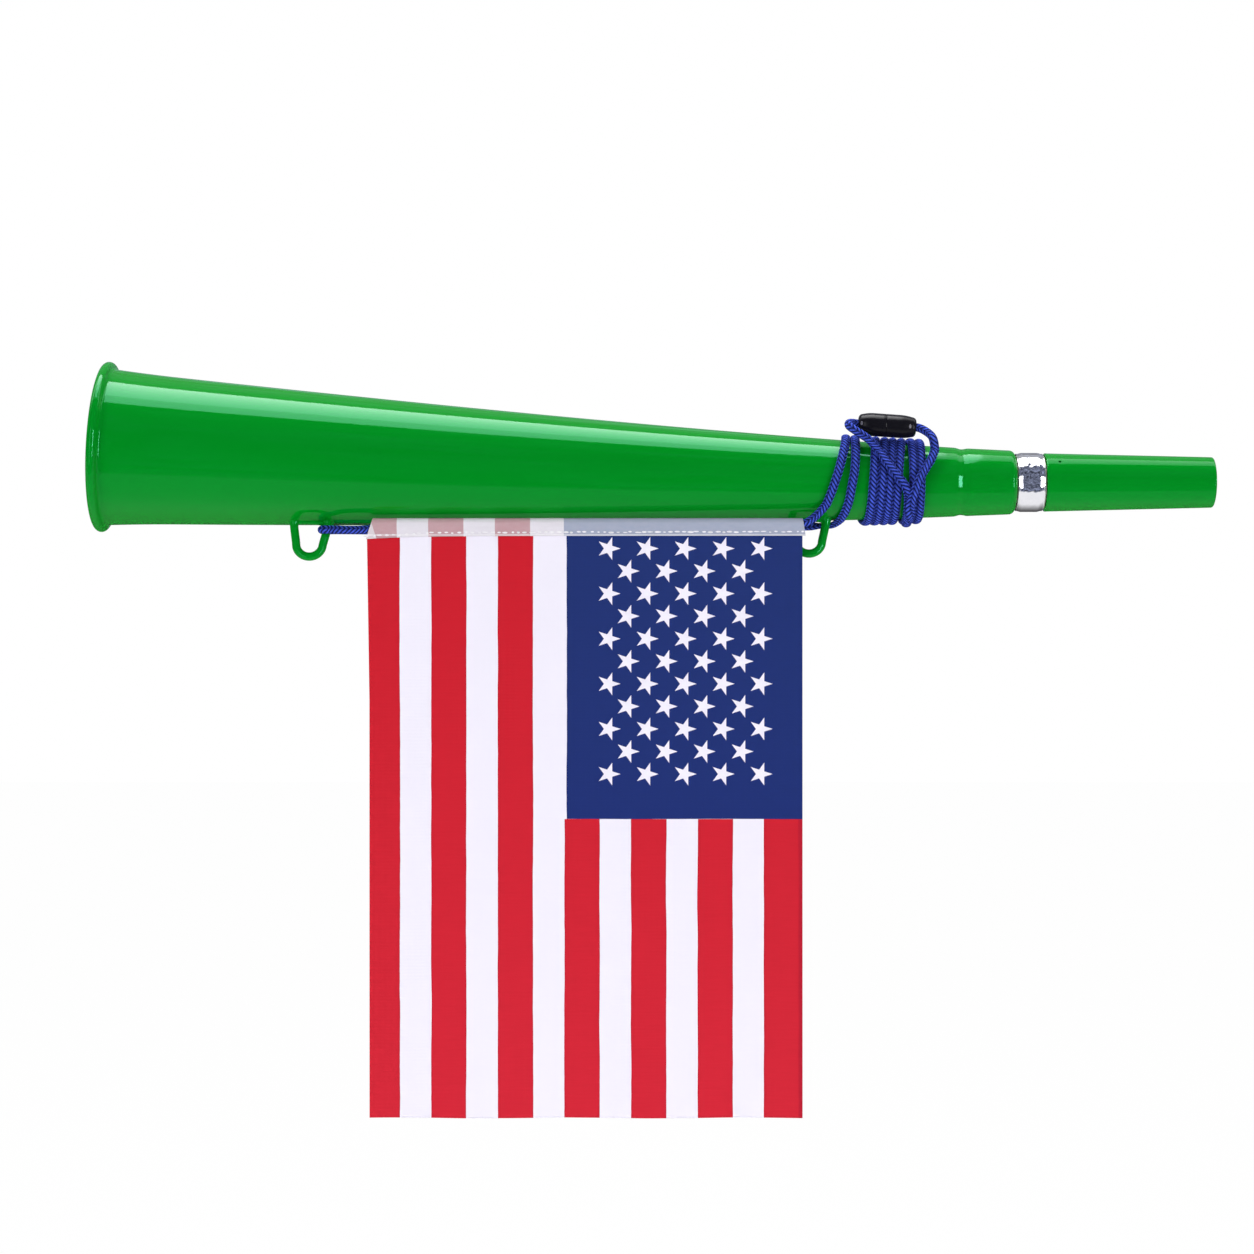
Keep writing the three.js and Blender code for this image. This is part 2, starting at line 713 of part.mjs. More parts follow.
// The panel hangs almost flat, with a few shallow folds that open out downwards.
function flagPanel() {
  const columns = 30;
  const rows = 12;
  const positions = [];
  const index = [];
  for (const face of [-1, 1]) {
    for (let row = 0; row <= rows; row++) {
      for (let column = 0; column <= columns; column++) {
        const across = column / columns;
        const down = row / rows;
        const fold = foldDepth * down * Math.sin(2 * Math.PI * foldCount * across + 0.6 * down);
        positions.push(across * flagWidth, fold + (face * panelThick) / 2, -down * flagDrop);
      }
    }
  }
  const width = columns + 1;
  const corner = (face, row, column) => (face * (rows + 1) + row) * width + column;
  const quad = (a, b, c, d) => index.push(a, b, c, a, c, d);
  for (let row = 0; row < rows; row++) {
    for (let column = 0; column < columns; column++) {
      const at = (face, r, c) => corner(face, row + r, column + c);
      quad(at(0, 0, 0), at(0, 1, 0), at(0, 1, 1), at(0, 0, 1));
      quad(at(1, 0, 0), at(1, 0, 1), at(1, 1, 1), at(1, 1, 0));
    }
  }
  for (let row = 0; row < rows; row++) {
    quad(corner(0, row, 0), corner(1, row, 0), corner(1, row + 1, 0), corner(0, row + 1, 0));
    quad(corner(1, row, columns), corner(0, row, columns), corner(0, row + 1, columns), corner(1, row + 1, columns));
  }
  for (let column = 0; column < columns; column++) {
    quad(corner(0, 0, column), corner(0, 0, column + 1), corner(1, 0, column + 1), corner(1, 0, column));
    quad(corner(0, rows, column), corner(1, rows, column), corner(1, rows, column + 1), corner(0, rows, column + 1));
  }
  const geometry = new THREE.BufferGeometry();
  geometry.setAttribute("position", new THREE.Float32BufferAttribute(positions, 3));
  geometry.setIndex(index);
  geometry.computeVertexNormals();
  return geometry.translate(flagLeft, flagY, flagZ - hemDepth - fitGap);
}

const reedUnit = new THREE.Group();
reedUnit.add(
  mesh("reed_housing", reedHousing(), whitePlastic),
  mesh("chrome_band", chromeBand(), chrome),
  mesh("reed_shallot", geometryOf(reedShallot()), whitePlastic),
  mesh("reed_tongue", reedTongue(), reedMetal),
  mesh("reed_wedge", reedWedge(), whitePlastic),
);

const flag = new THREE.Group();
flag.add(mesh("flag_sleeve", flagSleeve(), hemCloth), mesh("flag_panel", flagPanel(), redCloth));

const horn = new THREE.Group();
horn.add(
  mesh("horn_body", geometryOf(hornBody()), greenPlastic),
  reedUnit,
  mesh("mouthpiece", mouthpieceTube(), greenPlastic),
  lanyard(),
  clasp(),
  flag,
);

export default horn;
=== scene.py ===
import math

import bmesh
import bpy
import numpy as np
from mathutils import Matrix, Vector


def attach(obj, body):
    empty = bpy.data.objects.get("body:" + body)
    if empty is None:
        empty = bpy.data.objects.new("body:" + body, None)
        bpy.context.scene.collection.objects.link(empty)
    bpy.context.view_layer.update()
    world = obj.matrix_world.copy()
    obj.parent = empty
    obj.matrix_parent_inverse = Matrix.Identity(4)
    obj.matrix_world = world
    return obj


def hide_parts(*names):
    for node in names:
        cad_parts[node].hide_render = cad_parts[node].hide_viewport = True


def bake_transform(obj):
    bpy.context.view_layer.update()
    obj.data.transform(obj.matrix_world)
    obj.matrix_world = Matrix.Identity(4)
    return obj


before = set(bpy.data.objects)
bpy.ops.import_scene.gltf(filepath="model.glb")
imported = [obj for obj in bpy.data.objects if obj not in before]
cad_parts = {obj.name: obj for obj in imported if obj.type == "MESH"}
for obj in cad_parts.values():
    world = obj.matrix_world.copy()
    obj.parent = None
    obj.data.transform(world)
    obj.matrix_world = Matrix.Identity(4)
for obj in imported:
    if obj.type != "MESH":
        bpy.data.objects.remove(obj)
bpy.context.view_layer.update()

# Camera. The photograph looks square at the horn's side, a little below its middle, from a bit
# under a metre away, so the bell's rim and the tube's end bulge slightly.
MM = 0.001
CAMERA_AWAY = 930
SEEN_WIDTH = 405.42
SENSOR = 36
camera_data = bpy.data.cameras.new("camera")
camera_data.sensor_width = SENSOR
camera_data.lens = SENSOR * CAMERA_AWAY / SEEN_WIDTH
camera_data.clip_end = 50
camera = bpy.data.objects.new("camera", camera_data)
camera.location = Vector((-115.74, -CAMERA_AWAY, -46.72)) * MM
camera.rotation_euler = (math.pi / 2, 0, 0)
bpy.context.scene.collection.objects.link(camera)
bpy.context.scene.camera = camera

# Lanyard. One round braided polyester cord, about 2.7 mm thick and over a metre long. It runs through
# the flag's hem and round a lug, is wound round the neck as a pair, and its ends sit in the clasp.
CORD = 2.7
CORD_STEP = 0.5 * MM
NECK_PITCH = 2.9
WOUND_GAP = 0.05
WOUND_THICK = 1.95
FIRST_TURN_X = -38.6
COLLAR_END = 9.45
BODY_LENGTH = 293.65
BELL_RISE = 11.45
STRAIGHT_NECK = 100.65
COLLAR_LENGTH = 14.95
COLLAR_FRONT = 10.35
COLLAR_SWELL = 0.55
SHOULDER = 1.9
CRIMP_WIDTH = 4.8
CRIMP_DEPTH = 0.4
NECK_RADIUS = 11.15
TAPER = 0.05
FLARE_LENGTH = 24
FLARE_RISE = 0.5


class BentAxis:
    """The horn's centre line, by the distance along it from the collar's end, in millimetres."""

    def __init__(self):
        share = np.linspace(0, 1, 4001)[:, None]
        start, bend, end = (np.array(p, float) for p in (
            (COLLAR_END, 0, 0),
            (COLLAR_END - STRAIGHT_NECK, 0, 0),
            (COLLAR_END - BODY_LENGTH, 0, BELL_RISE),
        ))
        self.points = (1 - share) ** 2 * start + 2 * share * (1 - share) * bend + share ** 2 * end
        steps = np.linalg.norm(np.diff(self.points, axis=0), axis=1)
        self.run = np.concatenate([[0], np.cumsum(steps)])
        self.length = self.run[-1]
        slope = 2 * (1 - share) * (bend - start) + 2 * share * (end - bend)
        self.slope = -slope / np.linalg.norm(slope, axis=1)[:, None]

    def at(self, station):
        """Centre and direction, towards the mouthpiece, at one or more stations."""
        station = np.asarray(station, float)
        held = np.clip(station, 0, self.length)
        centre = np.stack([np.interp(held, self.run, self.points[:, k]) for k in range(3)], -1)
        along = np.stack([np.interp(held, self.run, self.slope[:, k]) for k in range(3)], -1)
        along /= np.linalg.norm(along, axis=-1, keepdims=True)
        return centre - along * (station - held)[..., None], along

    def station(self, x):
        """The station whose centre has this X."""
        inside = float(np.interp(-x, -self.points[:, 0], self.run))
        return inside if x <= COLLAR_END else COLLAR_END - x


axis = BentAxis()


def body_radius(station):
    """The horn's outside radius at a station."""
    taper_start = COLLAR_LENGTH + CRIMP_WIDTH
    if station <= COLLAR_LENGTH:
        return COLLAR_FRONT + COLLAR_SWELL * max(station - SHOULDER, 0) / (COLLAR_LENGTH - SHOULDER)
    if station < taper_start:
        share = (station - COLLAR_LENGTH) / CRIMP_WIDTH
        collar_back = COLLAR_FRONT + COLLAR_SWELL
        slope = (NECK_RADIUS - collar_back) * share
        return collar_back + slope - CRIMP_DEPTH * math.sin(math.pi * share) ** 2
    flare = max(station - (axis.length - FLARE_LENGTH), 0) / FLARE_LENGTH
    return NECK_RADIUS + TAPER * (station - taper_start) + FLARE_RISE * flare ** 2


# A strand on the neck passes through stops of turns, slots and layer. Whole turns are in front of
# the neck and quarters over it; a slot is one strand's pitch along it; layer 1 lies on layer 0.
LEFT_STOPS = [
    (-0.1, -4.65, 0), (-0.03, -3.9, 0), (0.05, -3.15, 0), (0.15, -2.5, 0), (0.25, -2.2, 0),
    (0.75, 0, 0), (1, 0.5, 0), (1.25, 1.08, 0), (1.75, 2, 0), (2, 2.36, 0), (2.25, 3, 0),
    (2.4, 3.38, 0), (2.75, 4.75, 0), (3, 4.92, 0), (3.2, 4.98, 0), (3.25, 4.98, 0.1), (3.33, 5, 0.65),
    (3.4, 4.97, 1.1), (3.6, 4.4, 1), (3.68, 4.3, 0.4), (3.75, 4.38, 0), (3.8, 4.4, 0),
    (3.93, 4.36, 0.15), (3.97, 4.05, 1), (4.01, 3.1, 1.05), (4.05, 2.1, 1), (4.1, 1.1, 1),
]
RIGHT_STOPS = [
    (-0.19, -2.95, 0), (-0.1, -2.25, 0), (-0.03, -1.9, 0), (0.04, -1.55, 0), (0.12, -1.38, 0),
    (0.25, -1.2, 0), (0.75, 1, 0), (1, 1.5, 0), (1.25, 2.1, 0), (1.75, 2.94, 0), (2, 3.22, 0),
    (2.25, 3.95, 0), (2.4, 4.34, 0), (2.75, 5.6, 0), (3, 5.75, 0), (3.2, 5.9, 0), (3.25, 5.9, 0.1),
    (3.4, 6.05, 0.8), (3.6, 5.3, 1.05), (3.68, 4.85, 0.8), (3.75, 4.48, 0.45), (3.83, 4.42, 0.8),
    (3.91, 4.55, 1.15), (3.96, 5, 1.25), (4, 5.5, 1.15), (4.035, 6.1, 1), (4.075, 6.85, 1), (4.115, 7.3, 1),
]
RIGHT_LEAD_TURN = 3.83


def wound(stops, first, last, steps=72):
    """Points in metres of a strand wound round the neck, from one turn to another, on a curve
    through its stops."""
    stops = np.array(stops, float)
    turns = np.linspace(first, last, max(int(abs(last - first) * steps), 2) + 1)
    slope = np.empty_like(stops)
    for i in range(len(stops)):
        low, high = max(i - 1, 0), min(i + 1, len(stops) - 1)
        slope[i] = (stops[high] - stops[low]) / (stops[high, 0] - stops[low, 0])
    points = []
    for turn in turns:
        i = int(np.clip(np.searchsorted(stops[:, 0], turn) - 1, 0, len(stops) - 2))
        span = stops[i + 1, 0] - stops[i, 0]
        t = (turn - stops[i, 0]) / span
        a, b, c, d = stops[i], stops[i + 1], slope[i] * span, slope[i + 1] * span
        place = (2 * t**3 - 3 * t**2 + 1) * a + (t**3 - 2 * t**2 + t) * c
        place = place + (3 * t**2 - 2 * t**3) * b + (t**3 - t**2) * d
        x = FIRST_TURN_X + NECK_PITCH * place[1]
        station = axis.station(x)
        reach = body_radius(station) + WOUND_GAP + (place[2] + 0.5) * WOUND_THICK
        angle = turn * 2 * math.pi
        centre = axis.at(station)[0]
        place = (x, -reach * math.cos(angle), centre[2] + reach * math.sin(angle))
        points.append(tuple(np.array(place) * MM))
    return points


# The cord's route off the neck in metres, as in the part's source, but for the way it hangs by the
# bell-side lug.
LEFT_LEAD = [
    (-0.0386, -0.0129, 0.013), (-0.0413, -0.0129, 0.0149), (-0.0435, -0.0123, 0.0164),
    (-0.0447, -0.0109, 0.0175), (-0.04475, -0.0093, 0.0184), (-0.04375, -0.00805, 0.0187),
]
STRAP_LOOP = [
    (-0.0546, -0.0109, -0.0105), (-0.0568, -0.011, -0.0124), (-0.059, -0.0112, -0.01355),
    (-0.068, -0.0112, -0.01355), (-0.09, -0.0112, -0.01355), (-0.115, -0.0112, -0.01355),
    (-0.14, -0.0112, -0.01355), (-0.165, -0.0112, -0.01355), (-0.185, -0.0112, -0.01355),
    (-0.19, -0.0112, -0.0138), (-0.194, -0.0112, -0.01465), (-0.198, -0.0112, -0.01545),
    (-0.202, -0.0112, -0.0157), (-0.2065, -0.0109, -0.01565),
    (-0.2085, -0.0102, -0.01555), (-0.2107, -0.0092, -0.0155),
    (-0.2122, -0.00875, -0.0155), (-0.2133, -0.00765, -0.0155), (-0.21375, -0.0061, -0.0155),
    (-0.2133, -0.00455, -0.0155), (-0.2122, -0.0034, -0.0156), (-0.2107, -0.003, -0.0155),
    (-0.206, -0.003, -0.0155), (-0.185, -0.003, -0.0157), (-0.16, -0.0027, -0.0156),
    (-0.135, -0.0024, -0.0154), (-0.11, -0.002, -0.0151), (-0.085, -0.0015, -0.0146),
    (-0.066, -0.0009, -0.0144), (-0.057, -0.0007, -0.0142), (-0.052, -0.0006, -0.014),
    (-0.0496, -0.0013, -0.0139),
]
RIGHT_LEAD = [(-0.0179, -0.0103, 0.0135), (-0.0192, -0.0086, 0.0154)]

CLASP_PLACE = np.array((-32.9, -7.6, 17.9))
CLASP_TILT = math.radians(4)
clasp_axis = np.array((math.cos(CLASP_TILT), 0, -math.sin(CLASP_TILT)))


def clasp_point(along):
    """A place on the clasp's axis, by its distance from the seam, in metres."""
    return tuple((CLASP_PLACE + along * clasp_axis) * MM)


def smoothed(points, step):
    """Even steps along a smooth curve through points (centripetal, so it never loops)."""
    points = np.array(points, float)
    points = np.vstack([2 * points[0] - points[1], points, 2 * points[-1] - points[-2]])
    dense = []
    for p0, p1, p2, p3 in zip(points, points[1:], points[2:], points[3:]):
        k = [max(math.sqrt(np.linalg.norm(b - a)), 1e-6) for a, b in ((p0, p1), (p1, p2), (p2, p3))]
        t0, t1, t2, t3 = 0, k[0], k[0] + k[1], sum(k)
        for t in np.linspace(t1, t2, 13)[:-1]:
            a1 = (t1 - t) / (t1 - t0) * p0 + (t - t0) / (t1 - t0) * p1
            a2 = (t2 - t) / (t2 - t1) * p1 + (t - t1) / (t2 - t1) * p2
            a3 = (t3 - t) / (t3 - t2) * p2 + (t - t2) / (t3 - t2) * p3
            b1 = (t2 - t) / (t2 - t0) * a1 + (t - t0) / (t2 - t0) * a2
            b2 = (t3 - t) / (t3 - t1) * a2 + (t - t1) / (t3 - t1) * a3
            dense.append((t2 - t) / (t2 - t1) * b1 + (t - t1) / (t2 - t1) * b2)
    dense.append(points[-2])
    dense = np.array(dense)
    run = np.concatenate([[0], np.cumsum(np.linalg.norm(np.diff(dense, axis=0), axis=1))])
    even = np.linspace(0, run[-1], int(run[-1] / step) + 1)
    return np.stack([np.interp(even, run, dense[:, i]) for i in range(3)], -1)


def surface(name, points, u, v, around=False, along=False, caps=False, smooth=30):
    """A mesh on a grid of points in metres. u runs with its columns and v with its rows; around
    closes the columns into a ring, along closes the rows, and caps shuts both ends of a tube."""
    rows, columns = points.shape[:2]
    mesh = bpy.data.meshes.new(name)
    faces, corners = [], []
    for i in range(rows - (0 if along else 1)):
        for j in range(columns - (0 if around else 1)):
            ii, jj = (i + 1) % rows, (j + 1) % columns
            faces.append((i * columns + j, i * columns + jj, ii * columns + jj, ii * columns + j))
            corners += [(u[j], v[i]), (u[j + 1], v[i]), (u[j + 1], v[i + 1]), (u[j], v[i + 1])]
    if caps:
        faces.append(tuple(reversed(range(columns))))
        faces.append(tuple((rows - 1) * columns + j for j in range(columns)))
        corners += [(u[j], v[0]) for j in reversed(range(columns))]
        corners += [(u[j], v[rows - 1]) for j in range(columns)]
    mesh.from_pydata(points.reshape(-1, 3).tolist(), [], faces)
    layer = mesh.uv_layers.new(name="UVMap")
    layer.data.foreach_set("uv", np.array(corners, float).ravel())
    return placed(name, mesh, smooth)


def placed(name, mesh, smooth=30):
    """An object for a mesh, with its faces outwards and edges of more than smooth degrees sharp."""
    kit = bmesh.new()
    kit.from_mesh(mesh)
    bmesh.ops.recalc_face_normals(kit, faces=kit.faces)
    kit.to_mesh(mesh)
    kit.free()
    mesh.shade_smooth()
    mesh.set_sharp_from_angle(angle=math.radians(smooth))
    piece = bpy.data.objects.new(name, mesh)
    bpy.context.scene.collection.objects.link(piece)
    return piece


SQUASH = 0.35
SPREAD = 0.07
SEAM_TURN = 0.15


def tube(name, path, radius, sides=18, first=0.0, press=None):
    """A closed tube round an even path in metres. Its UV map has turns across and millimetres along.
    press gives, for each place, the way in which the section is flattened, as long as its share; the
    section turns until its seam faces that way."""
    path = np.asarray(path, float)
    tangent = np.gradient(path, axis=0)
    tangent /= np.linalg.norm(tangent, axis=1)[:, None]
    radius = np.broadcast_to(np.asarray(radius, float), len(path))
    across = np.array((0.31, 0.87, 0.38))
    rings = []
    angle = np.linspace(0, 2 * math.pi, sides, endpoint=False)[:, None]
    press = np.zeros_like(path) if press is None else press
    for point, along, size, way in zip(path, tangent, radius, press):
        across = across + SEAM_TURN * way
        across = across - along * across.dot(along)
        across /= np.linalg.norm(across)
        side = np.cross(along, across)
        offset = size * (across * np.cos(angle) + side * np.sin(angle))
        share = np.linalg.norm(way)
        rings.append(point + offset * (1 + SPREAD * share) - SQUASH * (offset @ way)[:, None] * way)
    run = np.concatenate([[0], np.cumsum(np.linalg.norm(np.diff(path, axis=0), axis=1))]) / MM
    turns = np.linspace(0, 1, sides + 1)
    return surface(name, np.array(rings), turns, first + run, around=True, caps=True)


class Value:
    """A node's output that takes part in plain arithmetic."""

    def __init__(self, recipe, socket):
        self.recipe, self.socket = recipe, socket

    def math(self, operation, *others):
        """Any Math node on this value and others, such as "SINE" or "WRAP"."""
        slots = dict(enumerate((self, *others)))
        return self.recipe.node("Math", settings={"operation": operation}, slots=slots)

    def __add__(self, other): return self.math("ADD", other)
    __radd__ = __add__
    def __sub__(self, other): return self.math("SUBTRACT", other)
    def __rsub__(self, other): return (self * -1).math("ADD", other)
    def __mul__(self, other): return self.math("MULTIPLY", other)
    __rmul__ = __mul__
    def __truediv__(self, other): return self.math("DIVIDE", other)
    def __rtruediv__(self, other): return self.math("POWER", -1.0).math("MULTIPLY", other)
    def __pow__(self, other): return self.math("POWER", other)
    def __gt__(self, other): return self.math("GREATER_THAN", other)
    def __lt__(self, other): return self.math("LESS_THAN", other)
    def __abs__(self): return self.math("ABSOLUTE")

    def held(self):
        """The value, kept from 0 to 1."""
        return self.math("MAXIMUM", 0.0).math("MINIMUM", 1.0)


class Recipe:
    """A node tree under making."""

    def __init__(self, tree):
        self.tree = tree
        tree.nodes.clear()

    def join(self, given, slot):
        """Links a value to a socket, or writes a plain number or colour on it."""
        if isinstance(given, Value):
            self.tree.links.new(given.socket, slot)
        else:
            slot.default_value = given

    def node(self, kind, output=0, settings=None, slots=None, **inputs):
        """Any node, from its type, its settings, which are set first, and its inputs: by number in
        slots, or by name with _ for a space. Gives one of its outputs, if it has any."""
        own_kind = kind.startswith(("GeometryNode", "FunctionNode", "NodeGroup"))
        node = self.tree.nodes.new(kind if own_kind else "ShaderNode" + kind)
        for key, value in (settings or {}).items():
            setattr(node, key, value)
        for key, given in (slots or {}).items():
            self.join(given, node.inputs[key])
        for key, given in inputs.items():
            self.join(given, node.inputs[key.replace("_", " ")])
        return Value(self, node.outputs[output]) if node.outputs else None

    def axes(self, place):
        """The three parts of a vector."""
        parts = self.node("SeparateXYZ", slots={0: place})
        return [Value(self, slot) for slot in parts.socket.node.outputs]

    def vector(self, x, y, z=0.0):
        return self.node("CombineXYZ", X=x, Y=y, Z=z)

    def place(self, name="Object"):
        return self.node("TexCoord", name)

    def noise(self, place, scale, detail=2.0, roughness=0.5):
        return self.node("TexNoise", "Fac", Vector=place, Scale=scale, Detail=detail, Roughness=roughness)

    def mix(self, share, first, second):
        """A colour between two others."""
        return self.node("Mix", 2, {"data_type": "RGBA"}, {0: share, 6: first, 7: second})


class Finish(Recipe):
    """A material under making, with one main shader."""

    def __init__(self, name, **inputs):
        self.material = bpy.data.materials.new(name)
        self.material.use_nodes = True
        super().__init__(self.material.node_tree)
        self.main = self.node("BsdfPrincipled", **inputs)
        self.node("OutputMaterial", Surface=self.main)

    def set(self, **inputs):
        """The main shader's own sockets, by name with _ for a space."""
        for key, given in inputs.items():
            self.join(given, self.main.socket.node.inputs[key.replace("_", " ")])

    def bump(self, height, depth, strength=1.0):
        """The shader's normal, from a height of 0 to 1 and a depth in millimetres."""
        self.set(Normal=self.node("Bump", Height=height, Distance=depth * MM, Strength=strength))

    def under(self, share, other):
        """Shows another shader in place of the main one, by a share."""
        both = self.node("MixShader", slots={0: share, 1: self.main, 2: other})
        self.join(both, self.tree.nodes["Material Output"].inputs["Surface"])

    def put_on(self, *pieces):
        for piece in pieces:
            piece.data.materials.clear()
            piece.data.materials.append(self.material)


def tint(red, green, blue):
    """A colour written as on the screen, from 0 to 255."""
    parts = [c / 255 for c in (red, green, blue)]
    return (*[c / 12.92 if c <= 0.04045 else ((c + 0.055) / 1.055) ** 2.4 for c in parts], 1.0)


# Braid: four columns of slanting ribs round the cord, each column leaning against its neighbours,
# so that a side seen at a column's middle looks twisted, and at its edge shows a row of chevrons.
braid = Finish("blue_braid", Roughness=0.85, Specular_IOR_Level=0.06)
COLUMNS = 4
RIB_STEP = 1.36
RIB_RISE = 2.0
FIBRES = 4
FIBRE_HEIGHT = 0.12
turn, run, _ = braid.axes(braid.place("UV"))
wobble = (braid.noise(braid.vector(turn * 2, run * 0.6), 1.0) - 0.5) * 0.6
across_column = turn * COLUMNS + 0.5
zigzag = across_column.math("PINGPONG", 1.0)
rib = (run + zigzag * RIB_RISE + wobble) / RIB_STEP
ridge = abs((rib * math.pi).math("SINE"))
column = abs((across_column * math.pi).math("SINE"))
fibre = (rib * 2 * math.pi * FIBRES).math("SINE") * 0.5 + 0.5
height = ridge ** 0.9 * (column ** 0.4 * 0.6 + 0.4) * (1 - FIBRE_HEIGHT) + fibre * FIBRE_HEIGHT
worn = braid.noise(braid.vector(turn * 5, run * 1.1), 1.0, 3.0)
# The colour follows the rib height, near black in the grooves and bright blue on the rib tops: painted
# shade in the grooves and painted highlight on the ribs.
shade = braid.mix(height ** 2.3, tint(0, 2, 28), tint(84, 110, 252))
braid.set(Base_Color=braid.mix(worn * 0.2, shade, tint(6, 20, 112)))
braid.bump(height, 0.4)


PRESS_REACH = 6.5
FREE_X = -57


def pressed(path):
    """How the neck flattens the cord at each place of a path: away from its axis, with its share,
    which fades out in the second layer and where the cord leaves the neck."""
    ways = []
    for x, y, z in np.asarray(path) / MM:
        station = axis.station(x)
        spoke = np.array((0, y, z - float(axis.at(station)[0][2])))
        reach = np.linalg.norm(spoke)
        near = np.clip((PRESS_REACH - reach + body_radius(station)) / 1.5, 0, 1)
        ways.append(spoke / reach * near * np.clip((x - FREE_X) / 3, 0, 1))
    return np.array(ways)


left_points = wound(LEFT_STOPS, LEFT_STOPS[-1][0], LEFT_STOPS[0][0])
right_points = wound(RIGHT_STOPS, RIGHT_STOPS[0][0], RIGHT_LEAD_TURN)
lead_points = wound(RIGHT_STOPS, RIGHT_LEAD_TURN, RIGHT_STOPS[-1][0])
left_end = [clasp_point(-7.5), clasp_point(-9.3), *reversed(LEFT_LEAD)]
right_end = [*RIGHT_LEAD, clasp_point(10.7), clasp_point(8.6)]
main_route = smoothed([*left_end, *left_points, *STRAP_LOOP, *right_points], CORD_STEP)
lead_route = smoothed([*lead_points, *right_end], CORD_STEP)
lanyard = tube("lanyard", main_route, CORD / 2 * MM, press=pressed(main_route))
right_lead = tube("lanyard_right_lead", lead_route, CORD / 2 * MM, first=3.0, press=pressed(lead_route))
braid.put_on(lanyard, right_lead)


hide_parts("lanyard_lead_left", "lanyard_winding_left", "lanyard_loop", "lanyard_winding_right")
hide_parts("lanyard_lead_right")
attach(lanyard, "horn")
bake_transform(right_lead)

# Horn body. One glossy green polypropylene moulding: a rolled rim, a long thin-walled cone that
# bends down to the neck, a crimp, a collar, and two hoop lugs under it. Its seam doesn't show.
WALL = 1.4
RIM_RADIUS = 27.5
RIM_BEAD = 1.6
SOCKET = 7.5
SOCKET_DEPTH = 24
FOOT = 3


def turned_on(name, outline, segments, line, smooth=30):
    """An outline of (station, radius) in millimetres, turned round a line given by its at()."""
    stations, radii = np.array(outline, float).T
    centre, along = line.at(stations)
    up = np.stack([-along[:, 2], np.zeros(len(along)), along[:, 0]], -1)
    angle = np.linspace(0, 2 * math.pi, segments, endpoint=False)
    side = np.array((0, -1, 0)) * np.cos(angle)[None, :, None] + up[:, None] * np.sin(angle)[None, :, None]
    points = (centre[:, None] + side * radii[:, None, None]) * MM
    closed = np.vstack([outline, outline[:1]])
    v = np.concatenate([[0], np.cumsum(np.linalg.norm(np.diff(closed, axis=0), axis=1))])
    turns = np.linspace(0, 1, segments + 1)
    return surface(name, points, turns, v, around=True, along=True, smooth=smooth)


def arc(centre, radius, first, last, steps):
    """Points on an arc, its angles in degrees."""
    angles = np.radians(np.linspace(first, last, steps + 1))
    return [(centre[0] + radius * math.cos(a), centre[1] + radius * math.sin(a)) for a in angles]


def curve_through(start, middle, end, steps):
    """A quadratic fillet from start to end, pulled towards middle."""
    return [
        tuple((1 - t) ** 2 * np.array(start) + 2 * t * (1 - t) * np.array(middle) + t**2 * np.array(end))
        for t in np.linspace(0, 1, steps + 1)
    ]


bell = axis.length
rim = [(bell - x, y) for x, y in arc((0, RIM_RADIUS - RIM_BEAD), RIM_BEAD, 270, 15, 20)]
foot = (bell - FOOT, body_radius(bell - FOOT))
outline = rim + curve_through(rim[-1], (bell - 1.75, foot[1] + 0.12), foot, 6)[1:]
crimp_end = COLLAR_LENGTH + CRIMP_WIDTH
outline += [(s, body_radius(s)) for s in np.linspace(foot[0], crimp_end, 80)[1:]]
outline += [(s, body_radius(s)) for s in np.linspace(crimp_end, COLLAR_LENGTH, 16)[1:]]
outline += [(SHOULDER - x, y) for x, y in arc((0, COLLAR_FRONT - SHOULDER), SHOULDER, 90, 0, 8)]
outline += [(0, SOCKET + 0.3), (0.3, SOCKET), (SOCKET_DEPTH, SOCKET)]
outline += [(s, body_radius(s) - WALL) for s in np.linspace(SOCKET_DEPTH + 4, bell - 3.4, 60)]
shell = turned_on("horn_shell", outline, 160, axis, smooth=40)

LUG_PLACES = (-216.1, -56.8)
LUG_BAR = 1.35
LUG_REACH = 11.5
LUG_ROOT = 5.5
LUG_BEND = 4.3
LUG_ARCH = 0.9
LUG_DEPTH = 0.7
LUG_FLARE = 0.9
LUG_TURN = math.radians(15)


def lug_point(lug_x, x, out):
    """A place in a lug's own plane: x along the body, out from its surface."""
    station = axis.station(lug_x)
    centre, along = axis.at(station)
    up = np.array((-along[2], 0, along[0]))
    outward = -up * math.cos(LUG_TURN) - np.array((0, math.sin(LUG_TURN), 0))
    return tuple((centre + along * x + outward * (body_radius(station) + out)) * MM)


lugs = []
for lug_x in LUG_PLACES:
    bend_top = LUG_REACH - LUG_BEND
    hoop = [lug_point(lug_x, -LUG_ROOT, -LUG_DEPTH), lug_point(lug_x, -LUG_ROOT + 0.1, LUG_BAR)]
    for i in range(11):
        angle = math.radians(i * 18)
        hoop.append(lug_point(lug_x, -LUG_BEND * math.cos(angle), bend_top + LUG_BEND * math.sin(angle)))
    hoop += [lug_point(lug_x, LUG_ROOT - 0.1, LUG_BAR), lug_point(lug_x, LUG_ROOT, -LUG_DEPTH)]
    step = 0.4
    hoop = smoothed(hoop, step * MM)
    from_root = np.minimum(np.arange(len(hoop)), np.arange(len(hoop))[::-1]) * step
    flare = LUG_BAR + LUG_FLARE * np.clip(1 - from_root / 2.6, 0, 1) ** 2
    lugs.append(tube("lug", hoop, flare * MM, sides=20))
    spread = np.linspace(-1, 1, 25)
    arch = [lug_point(lug_x, s * LUG_ROOT, -0.2 * LUG_ARCH + 0.6 * LUG_ARCH * s**2) for s in spread]
    lugs.append(tube("lug_bar", arch, LUG_ARCH * MM, sides=16))


